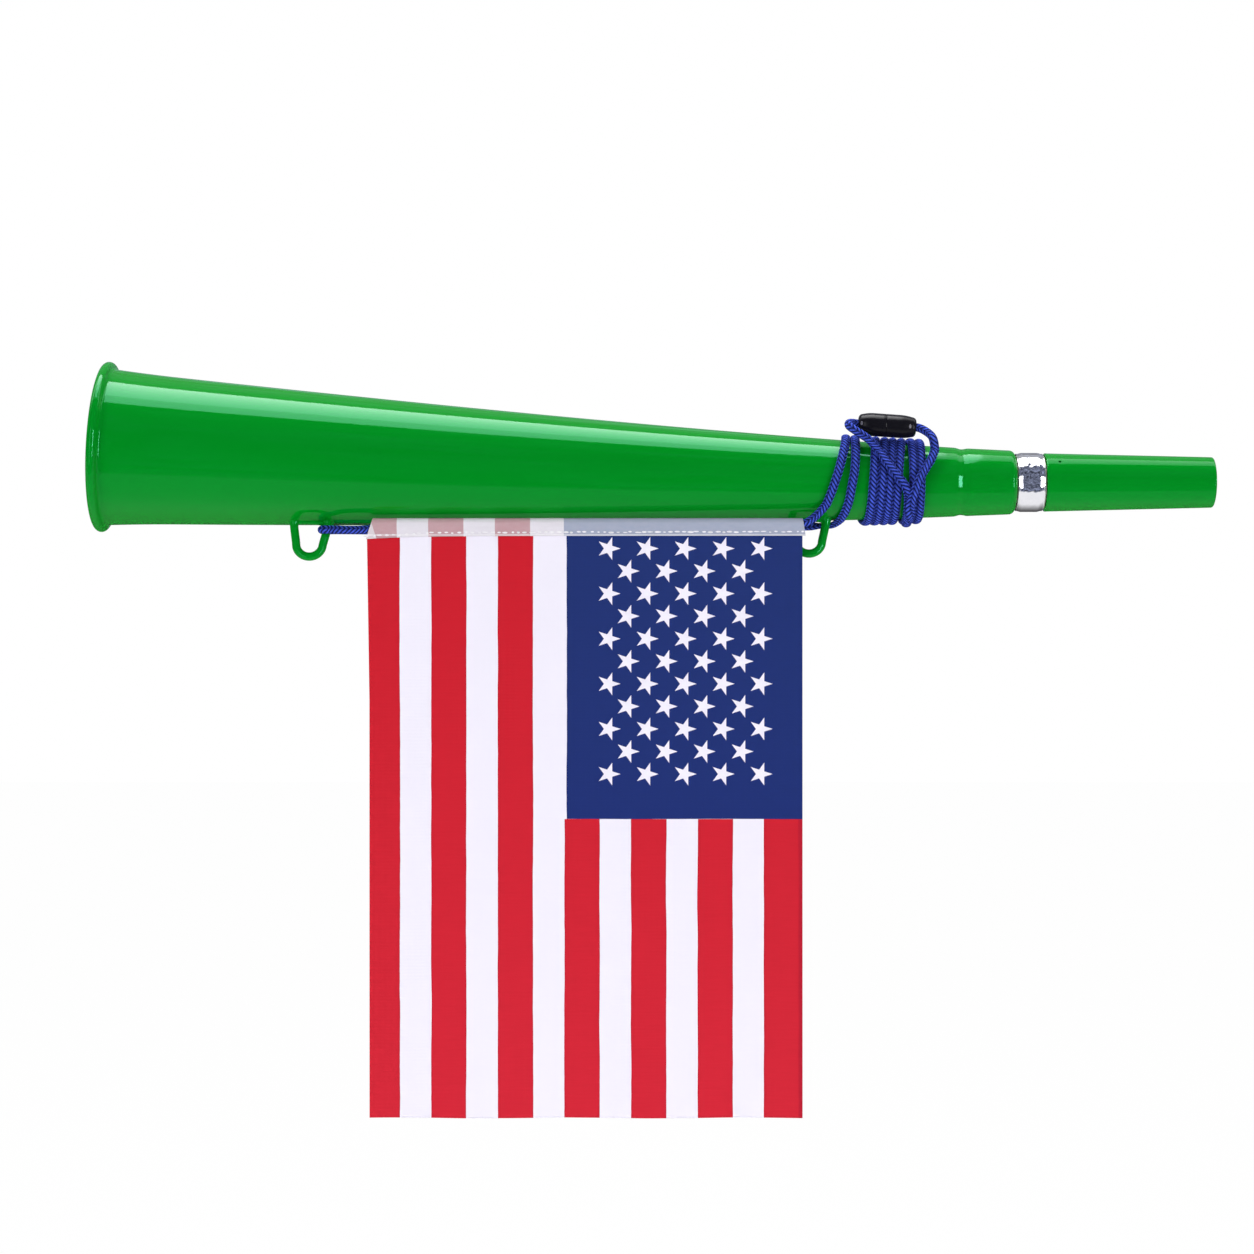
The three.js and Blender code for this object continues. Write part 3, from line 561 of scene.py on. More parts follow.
def joined(name, pieces, smooth=30):
    """One piece from several, as one mesh; the separate ones go."""
    kit = bmesh.new()
    for piece in pieces:
        kit.from_mesh(piece.data)
    mesh = bpy.data.meshes.new(name)
    kit.to_mesh(mesh)
    kit.free()
    for piece in pieces:
        bpy.data.meshes.remove(piece.data)
    return placed(name, mesh, smooth)


horn = joined("horn_moulding", [shell, *lugs], smooth=40)


def green_plastic(name):
    """The horn's green polypropylene: clean and glossy, with the faintest flow marks."""
    green = Finish(name, Specular_IOR_Level=0.25, Specular_Tint=(0.25, 1.0, 0.72, 1.0))
    spot = green.place()
    cloud = green.noise(spot, 22.0, 2.0)
    green.set(Base_Color=green.mix(cloud, tint(1, 139, 31), tint(1, 134, 28)))
    green.set(Roughness=green.noise(spot, 60.0, 3.0) * 0.03 + 0.05)
    return green


green = green_plastic("green_gloss")
spot = green.place()
green.bump(green.noise(spot, 35.0, 1.0), 0.05, 0.5)
green.put_on(horn)
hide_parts("horn_body")
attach(horn, "horn")


class StraightAxis:
    """A straight line from a place along a direction, in millimetres."""

    def __init__(self, start=(0, 0, 0), along=(1, 0, 0)):
        self.start, self.along = np.array(start, float), np.array(along, float)

    def at(self, station):
        station = np.asarray(station, float)
        along = np.broadcast_to(self.along, (*station.shape, 3))
        return self.start + along * station[..., None], along


# Reed unit. A turned white hub pushes into the neck, with the shallot, the curled reed and its wedge
# in its bore. They are hidden in the horn, and their solids stay as they are, in moulded satin plastic.
white = Finish("white_satin", Specular_IOR_Level=0.5)
spot = white.place()
cloud = white.noise(spot, 180.0, 3.0)
white.set(Base_Color=white.mix(cloud, tint(229, 226, 214), tint(240, 238, 230)))
white.set(Roughness=white.noise(spot, 900.0, 2.0) * 0.2 + 0.35)
white.bump(white.noise(spot, 2500.0, 2.0), 0.01)
white.put_on(*(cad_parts[name] for name in ("reed_housing", "reed_shallot", "reed_wedge")))
brass = Finish("rolled_brass", Metallic=1.0)
x, y, z = brass.axes(brass.place())
lines = brass.noise(brass.vector(x * 60, y * 4000, z * 60), 1.0, 3.0)
brass.set(Base_Color=brass.mix(lines, tint(176, 142, 66), tint(206, 172, 92)))
brass.set(Roughness=lines * 0.2 + 0.22)
brass.put_on(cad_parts["reed_tongue"])

# Chrome band. A thin plated tube pressed over the hub: a shallow barrel with rolled edges, its
# middle slightly dented by the press, so that it mirrors the room in dark, uneven patches.
BAND_START = 9.75
BAND_LENGTH = 8.6
BAND_RADIUS = 9.52
BAND_BORE = 8.95
BAND_LEVEL = 2.5
BAND_SLANT = 0.3
BAND_EDGE = 0.16
DENT = 0.0028
middle = BAND_START + BAND_LENGTH / 2


def barrel_radius(x):
    """The band's radius: level in the middle and falling off at a slant to both sides."""
    beyond = max(abs(x - middle) - BAND_LEVEL, 0)
    bend = 0.3
    return BAND_RADIUS - BAND_SLANT * (math.hypot(beyond, bend) - bend)


edge = barrel_radius(BAND_START + 0.35)
outline = [(BAND_START + 0.1, BAND_BORE)]
outline += [(BAND_START + BAND_EDGE - x, y) for x, y in arc((0, edge - 0.08), BAND_EDGE, 0, 90, 8)]
outline += curve_through(outline[-1], (BAND_START + 0.34, edge + 0.06), (BAND_START + 0.42, edge), 4)[1:]
outline += [(s, barrel_radius(s)) for s in np.linspace(BAND_START + 0.5, middle, 40)]
outline += [(2 * middle - s, r) for s, r in reversed(outline[:-1])]
band = turned_on("chrome_ring", outline, 180, StraightAxis(), smooth=40)
for corner in band.data.vertices:
    place = corner.co / MM
    radius = math.hypot(place.y, place.z)
    if radius > BAND_RADIUS - 0.05:
        reach = max(0, 1 - ((place.x - middle) / 2.6) ** 2)
        angle = math.atan2(place.z, -place.y)
        dent = math.sin(7 * angle + 1.3 * place.x) + 0.8 * math.sin(17 * angle - 2.3 * place.x + 1)
        size = 1 + DENT * reach * dent * max(0, math.cos(angle - 0.1)) ** 2
        corner.co *= Vector((1, size, size))
chrome = Finish("bright_chrome", Metallic=1.0)
spot = chrome.place()
chrome.set(Base_Color=chrome.mix(chrome.noise(spot, 400.0), tint(226, 226, 232), tint(240, 240, 244)))
chrome.set(Roughness=chrome.noise(spot, 700.0, 3.0) * 0.08 + 0.04)
chrome.bump(chrome.noise(spot, 420.0, 2.0), 0.02)
chrome.put_on(band)
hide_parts("chrome_band")
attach(band, "reed_unit")

# Mouthpiece. A second green moulding that tapers to the lips, pushed on the hub's outer spigot. It
# is a plain tube with a rounded edge, and a gate mark as small as a pin's head near its base, whose
# matte core is painted dark green: painted shade in the pit.
MOUTH_START = 18.95
MOUTH_LENGTH = 54.55
MOUTH_BASE = 9.42
MOUTH_TIP = 8.15
MOUTH_END = MOUTH_START + MOUTH_LENGTH
BASE_ROUND = 0.3
TIP_ROUND = 0.5
TIP_BEVEL = 0.4
MOUTH_BORE = 6.5
SPIGOT_BORE = 7.0
SPIGOT_END = 32.25
GATE = (23.2, -6.8, 6.4)
GATE_SHADE_RADIUS = 0.48
GATE_DIMPLE = 1.3
outline = [(MOUTH_START, MOUTH_BASE - BASE_ROUND)]
outline += arc((MOUTH_START + BASE_ROUND, MOUTH_BASE - BASE_ROUND), BASE_ROUND, 180, 90, 4)[1:]
outline += [(MOUTH_START + 0.36, MOUTH_BASE)]
outline += [
    (MOUTH_START + s, MOUTH_BASE + (MOUTH_TIP - MOUTH_BASE) * s / MOUTH_LENGTH)
    for s in np.linspace(1, MOUTH_LENGTH - 1, 30)
]
outline += arc((MOUTH_END - TIP_ROUND, MOUTH_TIP - TIP_ROUND), TIP_ROUND, 90, 0, 6)
outline += [(MOUTH_END, MOUTH_BORE + TIP_BEVEL), (MOUTH_END - TIP_BEVEL, MOUTH_BORE)]
outline += [(SPIGOT_END, MOUTH_BORE), (SPIGOT_END, SPIGOT_BORE), (MOUTH_START, SPIGOT_BORE)]
mouthpiece = turned_on("mouth_tube", outline, 128, StraightAxis(), smooth=40)
gated = green_plastic("green_gloss_gated")
spot = gated.place()
x, y, z = gated.axes(spot)
from_gate = ((x / MM - GATE[0]) ** 2 + (y / MM - GATE[1]) ** 2 + (z / MM - GATE[2]) ** 2).math("SQRT")
dimple = (from_gate / GATE_DIMPLE).math("MINIMUM", 1.0)
gated.bump(dimple * dimple * 0.9 + gated.noise(spot, 35.0, 1.0) * 0.1, 0.02, 0.6)
# The gate's core is matte and painted dark green: painted shade in its pit.
gated.under(from_gate < GATE_SHADE_RADIUS, gated.node("BsdfDiffuse", Color=tint(2, 66, 14)))
gated.put_on(mouthpiece)
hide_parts("mouthpiece")
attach(mouthpiece, "mouth")

# Clasp. Two black polypropylene barrels that snap together over a headed pin. Each has a pale
# grey oval painted on its front near its end, and a flat parting line round it.
CLASP_RADIUS = 3.7
CLASP_END = 3.2
CLASP_ROUND = 1.3
SOCKET_LENGTH = 8.7
PLUG_LENGTH = 9.5
PLUG_GAP = 0.3
KNOT_ROOM = 1.5
PIN = 1.7
PIN_HEAD = 0.2
PIN_HOLE = 2.3
PIN_HOLE_DEPTH = 6.3
ON_AXIS = 0.02
OVAL_PLACE = 7.75
OVAL_ALONG = 0.34
OVAL_ASIDE = 0.7


def barrel(length):
    """A clasp half's outside, from its seam to its rounded end."""
    shape = [(-0.13, CLASP_RADIUS - 0.14), (-0.09, CLASP_RADIUS - 0.04), (0.02, CLASP_RADIUS)]
    shape += [(length * s, CLASP_RADIUS) for s in (0.12, 0.25, 0.38)]
    root = (length * 0.45, CLASP_RADIUS)
    round_start = (length - CLASP_ROUND, CLASP_END)
    shape += curve_through(root, (length * 0.66, CLASP_RADIUS), round_start, 10)
    return shape + arc((length - CLASP_ROUND, CLASP_END - CLASP_ROUND), CLASP_ROUND, 85, 0, 10)


cord_hole = CORD / 2 + 0.15
knot_stop = SOCKET_LENGTH - KNOT_ROOM
socket = barrel(SOCKET_LENGTH) + [
    (SOCKET_LENGTH, cord_hole), (knot_stop, cord_hole), (knot_stop, ON_AXIS),
    (PIN_HOLE_DEPTH, ON_AXIS), (PIN_HOLE_DEPTH, PIN_HOLE), (0, PIN_HOLE),
]
plug = [(-6, ON_AXIS), (-6, PIN - PIN_HEAD), (-5.7, PIN), (-5.4, PIN + PIN_HEAD)]
plug += [(-4.8, PIN + PIN_HEAD), (-4.4, PIN), (0, PIN)]
knot_stop = PLUG_LENGTH - KNOT_ROOM
plug += barrel(PLUG_LENGTH) + [(PLUG_LENGTH, cord_hole), (knot_stop, cord_hole), (knot_stop, ON_AXIS)]
socket_half = turned_on("clasp_socket_half", socket, 72, StraightAxis(CLASP_PLACE, -clasp_axis), smooth=35)
plug_line = StraightAxis(CLASP_PLACE + PLUG_GAP * clasp_axis, clasp_axis)
plug_half = turned_on("clasp_plug_half", plug, 72, plug_line, smooth=35)
black = Finish("black_gloss", Specular_IOR_Level=0.12)
spot = black.place()
x, y, z = black.axes(spot)
x, y, z = x / MM - CLASP_PLACE[0], y / MM - CLASP_PLACE[1], z / MM - CLASP_PLACE[2]
along = x * clasp_axis[0] + z * clasp_axis[2]
aside = z * clasp_axis[0] - x * clasp_axis[2]
# A pale grey oval is painted on the front of each half near its end; no window or knot is modelled there.
pale_oval = (abs(along + 0.1) - OVAL_PLACE) ** 2 / OVAL_ALONG ** 2 + aside ** 2 / OVAL_ASIDE ** 2
pale_oval = (pale_oval < 1) * (y < 0)
plain = black.mix(black.noise(spot, 300.0), tint(14, 13, 18), tint(20, 19, 25))
black.set(Base_Color=black.mix(pale_oval, plain, tint(104, 103, 114)))
black.set(Roughness=black.noise(spot, 500.0, 3.0) * 0.1 + 0.16)
black.bump(black.noise(spot, 420.0, 1.0), 0.03, 0.6)
black.put_on(socket_half, plug_half)
for piece, node, body in ((socket_half, "clasp_socket", "horn"), (plug_half, "clasp_plug", "clasp_half")):
    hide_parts(node)
    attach(piece, body)

# Flag, the hanging panel. Thin printed polyester, woven with a fine ribbed face, hung from its top
# edge. Its print is the stripes and the stars, turned so that the stripes run down.
FLAG_LEFT = -198.0
FLAG_WIDTH = 138.3
FLAG_DROP = 184.6
FLAG_Y = -11.2
FLAG_Z = -13.55
HEM_DEPTH = 4.0
CLOTH = 0.4
PANEL_TOP = -18.9
CORNER_DIP = 0.9
FOLDS = 2.5
FOLD_DEPTH = 0.8
FINE_FOLDS = 7.3
FINE_DEPTH = 0.12


def fold(across, down):
    """How far the hanging cloth stands off its plane: slow folds that open downwards, and fine ones."""
    broad = FOLD_DEPTH * down * np.sin(2 * math.pi * FOLDS * across + 0.6 * down)
    fine = FINE_DEPTH * np.sin(2 * math.pi * (FINE_FOLDS * across + 1.1 * down)) * np.sin(math.pi * across)
    return broad + fine * (0.3 + down)


def cloth(name, middle, normal, thick, u, v):
    """A flattened tube of cloth round a grid of points, half its thickness to each side."""
    rows, columns = middle.shape[:2]
    front, back = middle - normal * thick / 2, middle + normal * thick / 2
    ring = np.concatenate([front, back[:, ::-1]], axis=1)
    u = np.asarray(u, float)
    wrap = np.concatenate([u, u[::-1], u[:1]])
    return surface(name, ring * MM, wrap, v, around=True, smooth=60)


def shut(piece):
    """Closes the open loops at a cloth's two ends with quads between its two faces."""
    kit = bmesh.new()
    kit.from_mesh(piece.data)
    rim = [edge for edge in kit.edges if edge.is_boundary]
    bmesh.ops.holes_fill(kit, edges=rim, sides=0)
    bmesh.ops.recalc_face_normals(kit, faces=kit.faces)
    kit.to_mesh(piece.data)
    kit.free()
    piece.data.shade_smooth()


# The panel's top is sewn into the hem, and dips at its left corner with it.
lift = 2.2
across = np.linspace(0, 1, 141)[None, :]
down = np.linspace(0, 1, 187)[:, None]
x = FLAG_LEFT + FLAG_WIDTH * across - 0.8 * np.clip(1 - down * 3.5, 0, 1) * (1 - across) ** 8
dip = CORNER_DIP * np.clip(1 - down * 30, 0, 1) * np.clip(1.8 - across * 18, 0, 1)
z = PANEL_TOP + lift - (FLAG_DROP + lift) * down - dip
tuck = np.clip(1 - (PANEL_TOP + lift - z) / 4, 0, 1)
y = FLAG_Y + fold(across, down) + 0.1 * tuck
middle = np.stack([x, y, z], -1)
normal = np.broadcast_to(np.array((0.0, 1.0, 0.0)), middle.shape)
panel = cloth("flag_cloth", middle, normal, CLOTH, across[0], down[:, 0])
shut(panel)
# Each corner keeps its place as it hangs, so that the print stays on the cloth when it swings.
hung_place = panel.data.attributes.new("hung_place", "FLOAT_VECTOR", "POINT")
hung_place.data.foreach_set("vector", [c for corner in panel.data.vertices for c in corner.co])

STRIPE_PERIOD = 21.27
RED_HALF = 5.62
RED_MIDDLE = -130.1
CANTON_LEFT = -135.0
CANTON_BOTTOM = -108.05
STAR_X = -121.65
STAR_Z = -21.65
STAR_STEP = 12.14
STAR_ROW = 14.406
STAR_REACH = 3.83
STAR_POINT = math.radians(18)
LAST_RED_LEFT = -72.0
WHITE_GAP_LEFT = -137.0
INK_EDGE = 0.55
INK_FADE = 0.5
CANTON_EDGE = 0.7
THREADS_ACROSS = 2.6
THREADS_DOWN = 2.2


def from_red_stripe(x):
    """How far a place is from the middle of the nearest red stripe."""
    return abs((x - RED_MIDDLE).math("WRAP", STRIPE_PERIOD / 2, -STRIPE_PERIOD / 2))


def woven(x, z):
    """The height of a plain weave, with so many threads a millimetre each way."""
    threads_up = (x * 2 * math.pi * THREADS_ACROSS).math("SINE") * 0.5 + 0.5
    threads_over = (z * 2 * math.pi * THREADS_DOWN).math("SINE") * 0.5 + 0.5
    return threads_up * threads_over


print_cloth = Finish("printed_polyester", Roughness=0.9, Specular_IOR_Level=0.06)
x, _, z = print_cloth.axes(print_cloth.node("Attribute", "Vector", {"attribute_name": "hung_place"}))
x, z = x / MM, z / MM
waver = (print_cloth.noise(print_cloth.vector(x * 0.05, z * 0.05), 1.0, 3.0) - 0.5) * 0.7
stripe_x = x + waver
from_red = from_red_stripe(stripe_x)
red_part = (from_red < RED_HALF).math("MAXIMUM", stripe_x > LAST_RED_LEFT)
canton_part = (stripe_x > CANTON_LEFT) * (z + waver * 0.4 > CANTON_BOTTOM)


def stars(first_x, first_z, columns, rows):
    """Where five-pointed stars lie on an even grid, one point of each to the right."""
    dx = (x - first_x).math("WRAP", STAR_STEP / 2, -STAR_STEP / 2)
    dz = (z - first_z).math("WRAP", STAR_ROW / 2, -STAR_ROW / 2)
    side = abs(dz.math("ARCTAN2", dx).math("WRAP", math.pi / 5, -math.pi / 5))
    reach = (dx * dx + dz * dz).math("SQRT")
    edge = reach * (side.math("COSINE") * math.sin(STAR_POINT) + side.math("SINE") * math.cos(STAR_POINT))
    inside = edge < STAR_REACH * math.sin(STAR_POINT)
    middle_x = first_x + STAR_STEP * (columns - 1) / 2
    middle_z = first_z - STAR_ROW * (rows - 1) / 2
    inside = inside * (abs(x - middle_x) < STAR_STEP * columns / 2)
    return inside * (abs(z - middle_z) < STAR_ROW * rows / 2)


star_part = stars(STAR_X, STAR_Z, 5, 6) + stars(STAR_X + STAR_STEP / 2, STAR_Z - STAR_ROW / 2, 4, 5)
weave = woven(x, z)
slub = print_cloth.noise(print_cloth.vector(x * 0.12, z * 1.6), 1.0, 3.0)
drop = (z - PANEL_TOP) / -FLAG_DROP
red = print_cloth.mix(drop, tint(205, 30, 45), tint(213, 40, 58))
blue = print_cloth.mix(drop * 2, tint(33, 51, 113), tint(31, 48, 115))
red = print_cloth.mix(slub * 0.35, red, tint(190, 30, 42))
blue = print_cloth.mix(weave * 0.2, blue, tint(44, 64, 134))
paper = tint(243, 239, 253)
ink_edge = ((from_red - RED_HALF + INK_EDGE) / INK_FADE).held()
red = print_cloth.mix(ink_edge * 0.55, red, tint(166, 22, 48))
canton_edge = (1 - (stripe_x - CANTON_LEFT) / CANTON_EDGE).held()
blue = print_cloth.mix(canton_edge * 0.5, blue, tint(24, 30, 82))
field = print_cloth.mix(star_part, blue, paper)
beside_canton = (stripe_x > WHITE_GAP_LEFT) * (z > CANTON_BOTTOM)
colour = print_cloth.mix(red_part * (1 - beside_canton), paper, red)
print_cloth.set(Base_Color=print_cloth.mix(canton_part, colour, field))
print_cloth.bump(weave * 0.6 + slub * 0.4, 0.06)
print_cloth.put_on(panel)
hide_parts("flag_panel")
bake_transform(panel)

# Flag, the hem. The same cloth, folded forward over the cord and sewn down, so that its pale
# reverse faces the viewer. Its raw edges are turned in, and its left end slants, droops and gapes.
SLEEVE_REACH = CORD / 2 + 0.12
HEM_CLOTH = 0.3
REVERSE_SHIFT = 0.9
HEM_FUSED = 0.25
hem_section = [(-0.42, -HEM_DEPTH), (-0.48, -3.6), (-0.45, -3.2), (-0.48, -2.8), (-0.7, -2.35)]
hem_section += [(-1.05, -1.85), (-1.4, -1.15)]
hem_section += [(-x, y) for x, y in arc((0, -0.1), SLEEVE_REACH + 0.1, 0, 180, 18)]
hem_section += [(1.4, -1.15), (1.05, -1.85), (0.7, -2.35), (0.42, -2.8), (0.34, -3.2)]
hem_section += [(0.3, -3.5), (0.3, -3.8)]
section = np.array(hem_section)
tangent = np.gradient(section, axis=0)
tangent /= np.linalg.norm(tangent, axis=1)[:, None]
outwards = np.stack([-tangent[:, 1], tangent[:, 0]], -1)
columns = np.linspace(0, 1, 221)
ripple = 0.1 * np.sin(2 * math.pi * 9 * columns) + 0.08 * np.sin(2 * math.pi * 23 * columns + 1)
middle = np.zeros((len(section), len(columns), 3))
normal = np.zeros_like(middle)
for i, ((sy, sz), (ny, nz)) in enumerate(zip(section, outwards)):
    low = np.clip((1.6 - sz) / (1.6 + HEM_DEPTH), 0, 1)
    slant = 1.2 * (1 - columns) ** 9 + (columns * 2 - 1) * np.where(columns > 0.5, 1.0, 2.3) * low
    gape = 0.6 * math.exp(-((sz + 2.2) / 0.9) ** 2) * (1 - columns) ** 9
    middle[i, :, 0] = FLAG_LEFT + FLAG_WIDTH * columns + slant
    middle[i, :, 1] = FLAG_Y + sy + ripple * low + math.copysign(1, sy) * gape
    middle[i, :, 2] = FLAG_Z + sz - (0.25 * (1 - columns) ** 2 + 0.85 * (1 - columns) ** 10) * low
    normal[i, :, 1], normal[i, :, 2] = ny, nz
hem = cloth("flag_hem", middle, normal, HEM_CLOTH, columns, np.arange(len(section)) * 0.5)
shut(hem)

hem_cloth = Finish("pale_reverse", Roughness=0.9, Specular_IOR_Level=0.06)
x, _, z = hem_cloth.axes(hem_cloth.place())
x, z = x / MM + REVERSE_SHIFT, z / MM
red_part = (from_red_stripe(x) < RED_HALF) * (x < CANTON_LEFT - 5)
canton_part = x > CANTON_LEFT
weave = woven(x, z)
worn = hem_cloth.noise(hem_cloth.vector(x * 0.4, z * 0.9), 1.0, 4.0)
colour = hem_cloth.mix(red_part, tint(228, 225, 234), tint(191, 150, 156))
colour = hem_cloth.mix(canton_part, colour, tint(155, 166, 189))
colour = hem_cloth.mix(worn * 0.3, colour, tint(207, 198, 208))
left_end = (x - FLAG_LEFT - 1.7) + (z - FLAG_Z) * 0.3 < 0
colour = hem_cloth.mix(left_end * 0.7, colour, tint(226, 226, 232))
fused = abs(z - (FLAG_Z - HEM_DEPTH + 0.2)) < HEM_FUSED
colour = hem_cloth.mix(fused * 0.5, colour, tint(238, 236, 240))
hem_cloth.set(Base_Color=colour)
hem_cloth.bump(weave * 0.7 + worn * 0.3, 0.06)
hem_cloth.put_on(hem)
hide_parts("flag_sleeve")
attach(hem, "sleeve")

# Stitches. White thread along the hem in two rows, a short one at its left end, which hangs lower,
# and a long one: a lockstitch about 2 mm long. Each is one bead of thread, pulled into the cloth.
STITCH_STEP = 2.1
STITCH_LENGTH = 1.6
STITCH_THICK = 0.5
STITCH_Y = FLAG_Y - 0.68
STITCH_ROWS = (("left", (-198.8, -17.65), (-184, -17.1)), ("long", (-182, -16.6), (-59.5, -16.25)))


def named_tree(name, inputs):
    """A geometry node tree with the given named inputs, and the identifier of each."""
    tree = bpy.data.node_groups.new(name, "GeometryNodeTree")
    tree.interface.new_socket("Geometry", in_out="INPUT", socket_type="NodeSocketGeometry")
    tree.interface.new_socket("Geometry", in_out="OUTPUT", socket_type="NodeSocketGeometry")
    slots = {}
    for label, kind in inputs.items():
        made = tree.interface.new_socket(label, in_out="INPUT", socket_type="NodeSocket" + kind)
        slots[label] = made.identifier
    return tree, slots


def grown(name, tree, slots, values):
    """The plain mesh that a geometry node tree makes, with its place in its mesh."""
    seed = bpy.data.objects.new(name + "_seed", bpy.data.meshes.new(name + "_seed"))
    bpy.context.scene.collection.objects.link(seed)
    growth = seed.modifiers.new("growth", "NODES")
    growth.node_group = tree
    for label, value in values.items():
        growth[slots[label]] = value
    ready = seed.evaluated_get(bpy.context.evaluated_depsgraph_get())
    mesh = bpy.data.meshes.new_from_object(ready)
    seed.modifiers.remove(growth)
    bpy.data.objects.remove(seed)
    mesh.name = name
    piece = bpy.data.objects.new(name, mesh)
    bpy.context.scene.collection.objects.link(piece)
    return piece


thread = Finish("white_thread", Roughness=0.7, Sheen_Weight=0.3)
shade = thread.noise(thread.place(), 900.0)
thread.set(Base_Color=thread.mix(shade, tint(226, 224, 232), tint(250, 248, 252)))
stitch_tree, stitch_slots = named_tree("stitch_row", {
    "Start": "Vector", "End": "Vector", "Count": "Int", "Length": "Float", "Thickness": "Float",
    "Thread": "Material",
})
sewing = Recipe(stitch_tree)


def asked(label):
    """One of the stitch tree's own inputs."""
    return sewing.node("NodeGroupInput", label)


def uneven(low, high, seed):
    """A random vector for each stitch, with a fixed seed."""
    kind = {"data_type": "FLOAT_VECTOR"}
    return sewing.node("FunctionNodeRandomValue", "Value", kind, Min=low, Max=high, Seed=seed)


row = sewing.node(
    "GeometryNodeMeshLine", settings={"mode": "END_POINTS"},
    Count=asked("Count"), Start_Location=asked("Start"), Offset=asked("End"),
)
bead = sewing.node("GeometryNodeMeshUVSphere", Segments=8, Rings=6, Radius=0.5)
size = sewing.vector(asked("Length"), asked("Thickness"), asked("Thickness"))
pull = uneven((0.45, 0.8, 0.7), (1.45, 1.1, 1.5), 3)
pulled = sewing.node("VectorMath", settings={"operation": "MULTIPLY"}, slots={0: size, 1: pull})
stray = uneven((-0.4 * MM, 0, -0.16 * MM), (0.4 * MM, 0, 0.16 * MM), 5)
strayed = sewing.node("GeometryNodeSetPosition", Geometry=row, Offset=stray)
stand = sewing.node("GeometryNodeInstanceOnPoints", Points=strayed, Instance=bead, Scale=pulled)
whole = sewing.node("GeometryNodeRealizeInstances", Geometry=stand)
dressed = sewing.node("GeometryNodeSetMaterial", Geometry=whole, Material=asked("Thread"))
sewing.node("NodeGroupOutput", slots={0: dressed})
rows = []
for name, start, end in STITCH_ROWS:
    rows.append(grown("hem_stitches_" + name, stitch_tree, stitch_slots, {
        "Start": (start[0] * MM, STITCH_Y * MM, start[1] * MM),
        "End": (end[0] * MM, STITCH_Y * MM, end[1] * MM),
        "Count": int((end[0] - start[0]) / STITCH_STEP) + 1,
        "Length": STITCH_LENGTH * MM,
        "Thickness": STITCH_THICK * MM,
        "Thread": thread.material,
    }))
stitches = joined("hem_stitches", rows)
thread.put_on(stitches)
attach(stitches, "sleeve")

# Studio. A glowing white floor in a white room. Lamps overhead and at both sides show only as
# stripes and spots in glossy things; those above and in front light the cloth and don't show there.
FLOOR_Z = -0.42
FLOOR_GLOW = 0.985
FLOOR_DARK = 0.97
FLOOR_FADE = 0.2
WHITE = (1, 1, 1, 1)
BLACK = (0, 0, 0, 1)
corners = [(x, y, FLOOR_Z) for x, y in ((-6, -0.5), (6, -0.5), (6, 6), (-6, 6))]
floor_mesh = bpy.data.meshes.new("floor")
floor_mesh.from_pydata(corners, [], [(0, 1, 2, 3)])
floor = bpy.data.objects.new("floor", floor_mesh)
bpy.context.scene.collection.objects.link(floor)

# The floor glows white to the eye, throws only the lamps' light on things, and darkens backwards in
# a mirror.
pale = Finish("pale_floor", Roughness=0.9)
pale.set(Base_Color=pale.mix(pale.noise(pale.place(), 3.0), (0.82, 0.82, 0.83, 1), (0.84, 0.84, 0.84, 1)))
lit = pale.node("LightPath", "Is Diffuse Ray")
in_mirror = pale.node("LightPath", "Is Glossy Ray")
_, depth, _ = pale.axes(pale.place())
near = 1 / ((depth.math("MAXIMUM", 0.0) / FLOOR_FADE) ** 2 + 1)
seen = pale.mix(in_mirror * (1 - near) * FLOOR_DARK, WHITE, BLACK)
pale.under((1 - lit) * FLOOR_GLOW, pale.node("Emission", Color=seen, Strength=1.0))
pale.put_on(floor)


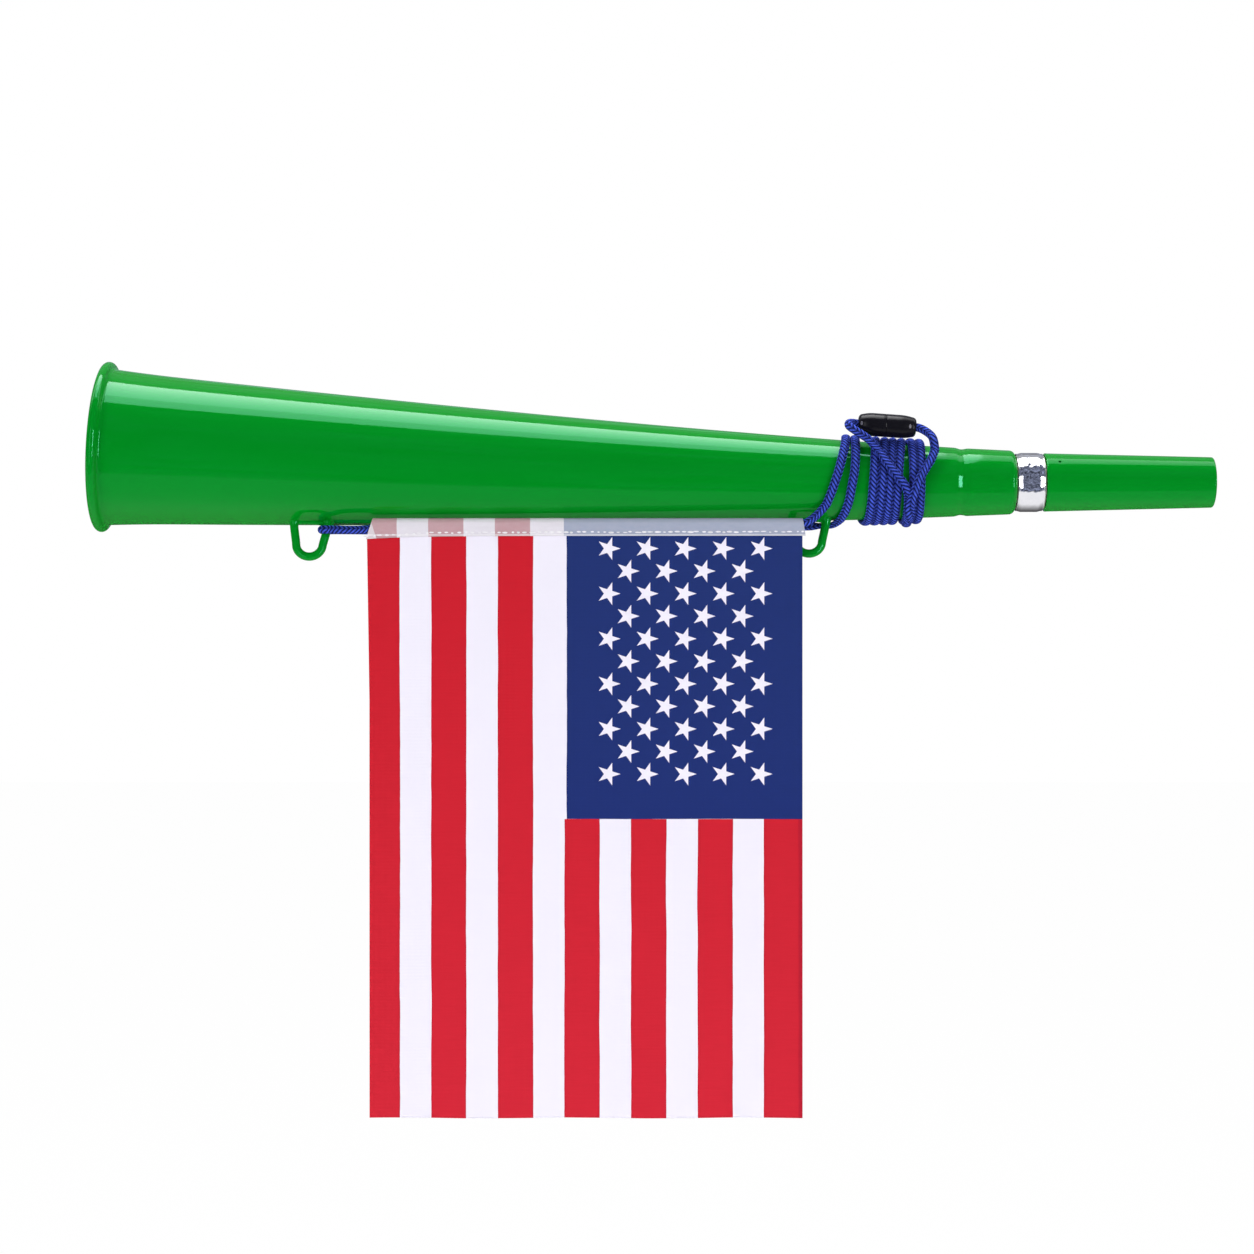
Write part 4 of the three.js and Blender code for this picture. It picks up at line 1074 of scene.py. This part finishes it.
def soft_light(name, place, aim, size, power, mirrored=True, spread=True):
    """A rectangular lamp. mirrored lets glossy things show it, and spread lets it light things."""
    data = bpy.data.lights.new(name, "AREA")
    data.shape = "RECTANGLE"
    data.size, data.size_y = size
    data.energy = power
    lamp = bpy.data.objects.new(name, data)
    lamp.location = place
    way = Vector(aim) - Vector(place)
    lamp.rotation_euler = way.to_track_quat("-Z", "Y").to_euler()
    lamp.visible_glossy, lamp.visible_diffuse = mirrored, spread
    bpy.context.scene.collection.objects.link(lamp)


soft_light("overhead", (-0.195, -0.066, 1.0), (-0.195, -0.066, 0.0), (0.73, 0.78), 14, spread=False)
soft_light("overhead_wide", (-0.115, 0.057, 1.01), (-0.115, 0.057, 0.0), (3.2, 0.534), 18, spread=False)
soft_light("top_fill", (-0.115, 0.32, 1.2), (-0.115, 0.0, 0.0), (1.6, 0.55), 22, mirrored=False)
soft_light("left_front", (-1.7, -1.5, 0.1), (-0.115, 0.0, -0.08), (1.0, 1.4), 18.5, mirrored=False)
soft_light("right_front", (1.5, -1.5, 0.1), (-0.115, 0.0, -0.08), (1.0, 1.4), 18.5, mirrored=False)
soft_light("left_box", (-0.95, -1.75, -0.05), (0.0, 0.0, 0.0), (0.5, 1.7), 8, spread=False)
soft_light("right_box", (1.2, -1.55, 0.0), (0.0, 0.0, 0.0), (0.32, 1.2), 32, spread=False)

# The room is white to the eye and lights the cloth less. In a mirror it is dark with pale blots, as
# the chrome ring shows, and a little paler behind and below.
world = bpy.data.worlds.new("studio")
bpy.context.scene.world = world
world.use_nodes = True
air = Recipe(world.node_tree)
in_mirror = air.node("LightPath", "Is Glossy Ray")
lit = air.node("LightPath", "Is Diffuse Ray")
way_x, way_y, way_z = air.axes(air.place("Generated"))
behind = (way_y > -0.05).math("MAXIMUM", way_z < -0.6)
pale_part = behind * (abs(way_z).math("MINIMUM", 0.9) ** 2 * 0.5 + 0.05)
blots = air.noise(air.vector(way_x * 22, way_y * 2, way_z * 11), 1.0, 3.0, 0.6)
blots = (blots - 0.42).math("MAXIMUM", 0.01) * 2.6
dark_side = air.mix(blots, BLACK, (0.62, 0.7, 1.0, 1))
seen = air.mix(in_mirror, WHITE, air.mix(pale_part, dark_side, WHITE))
air.node("OutputWorld", Surface=air.node("Background", Color=seen, Strength=1 - lit * 0.6))

bpy.context.scene.view_settings.view_transform = "Standard"


bpy.context.view_layer.update()
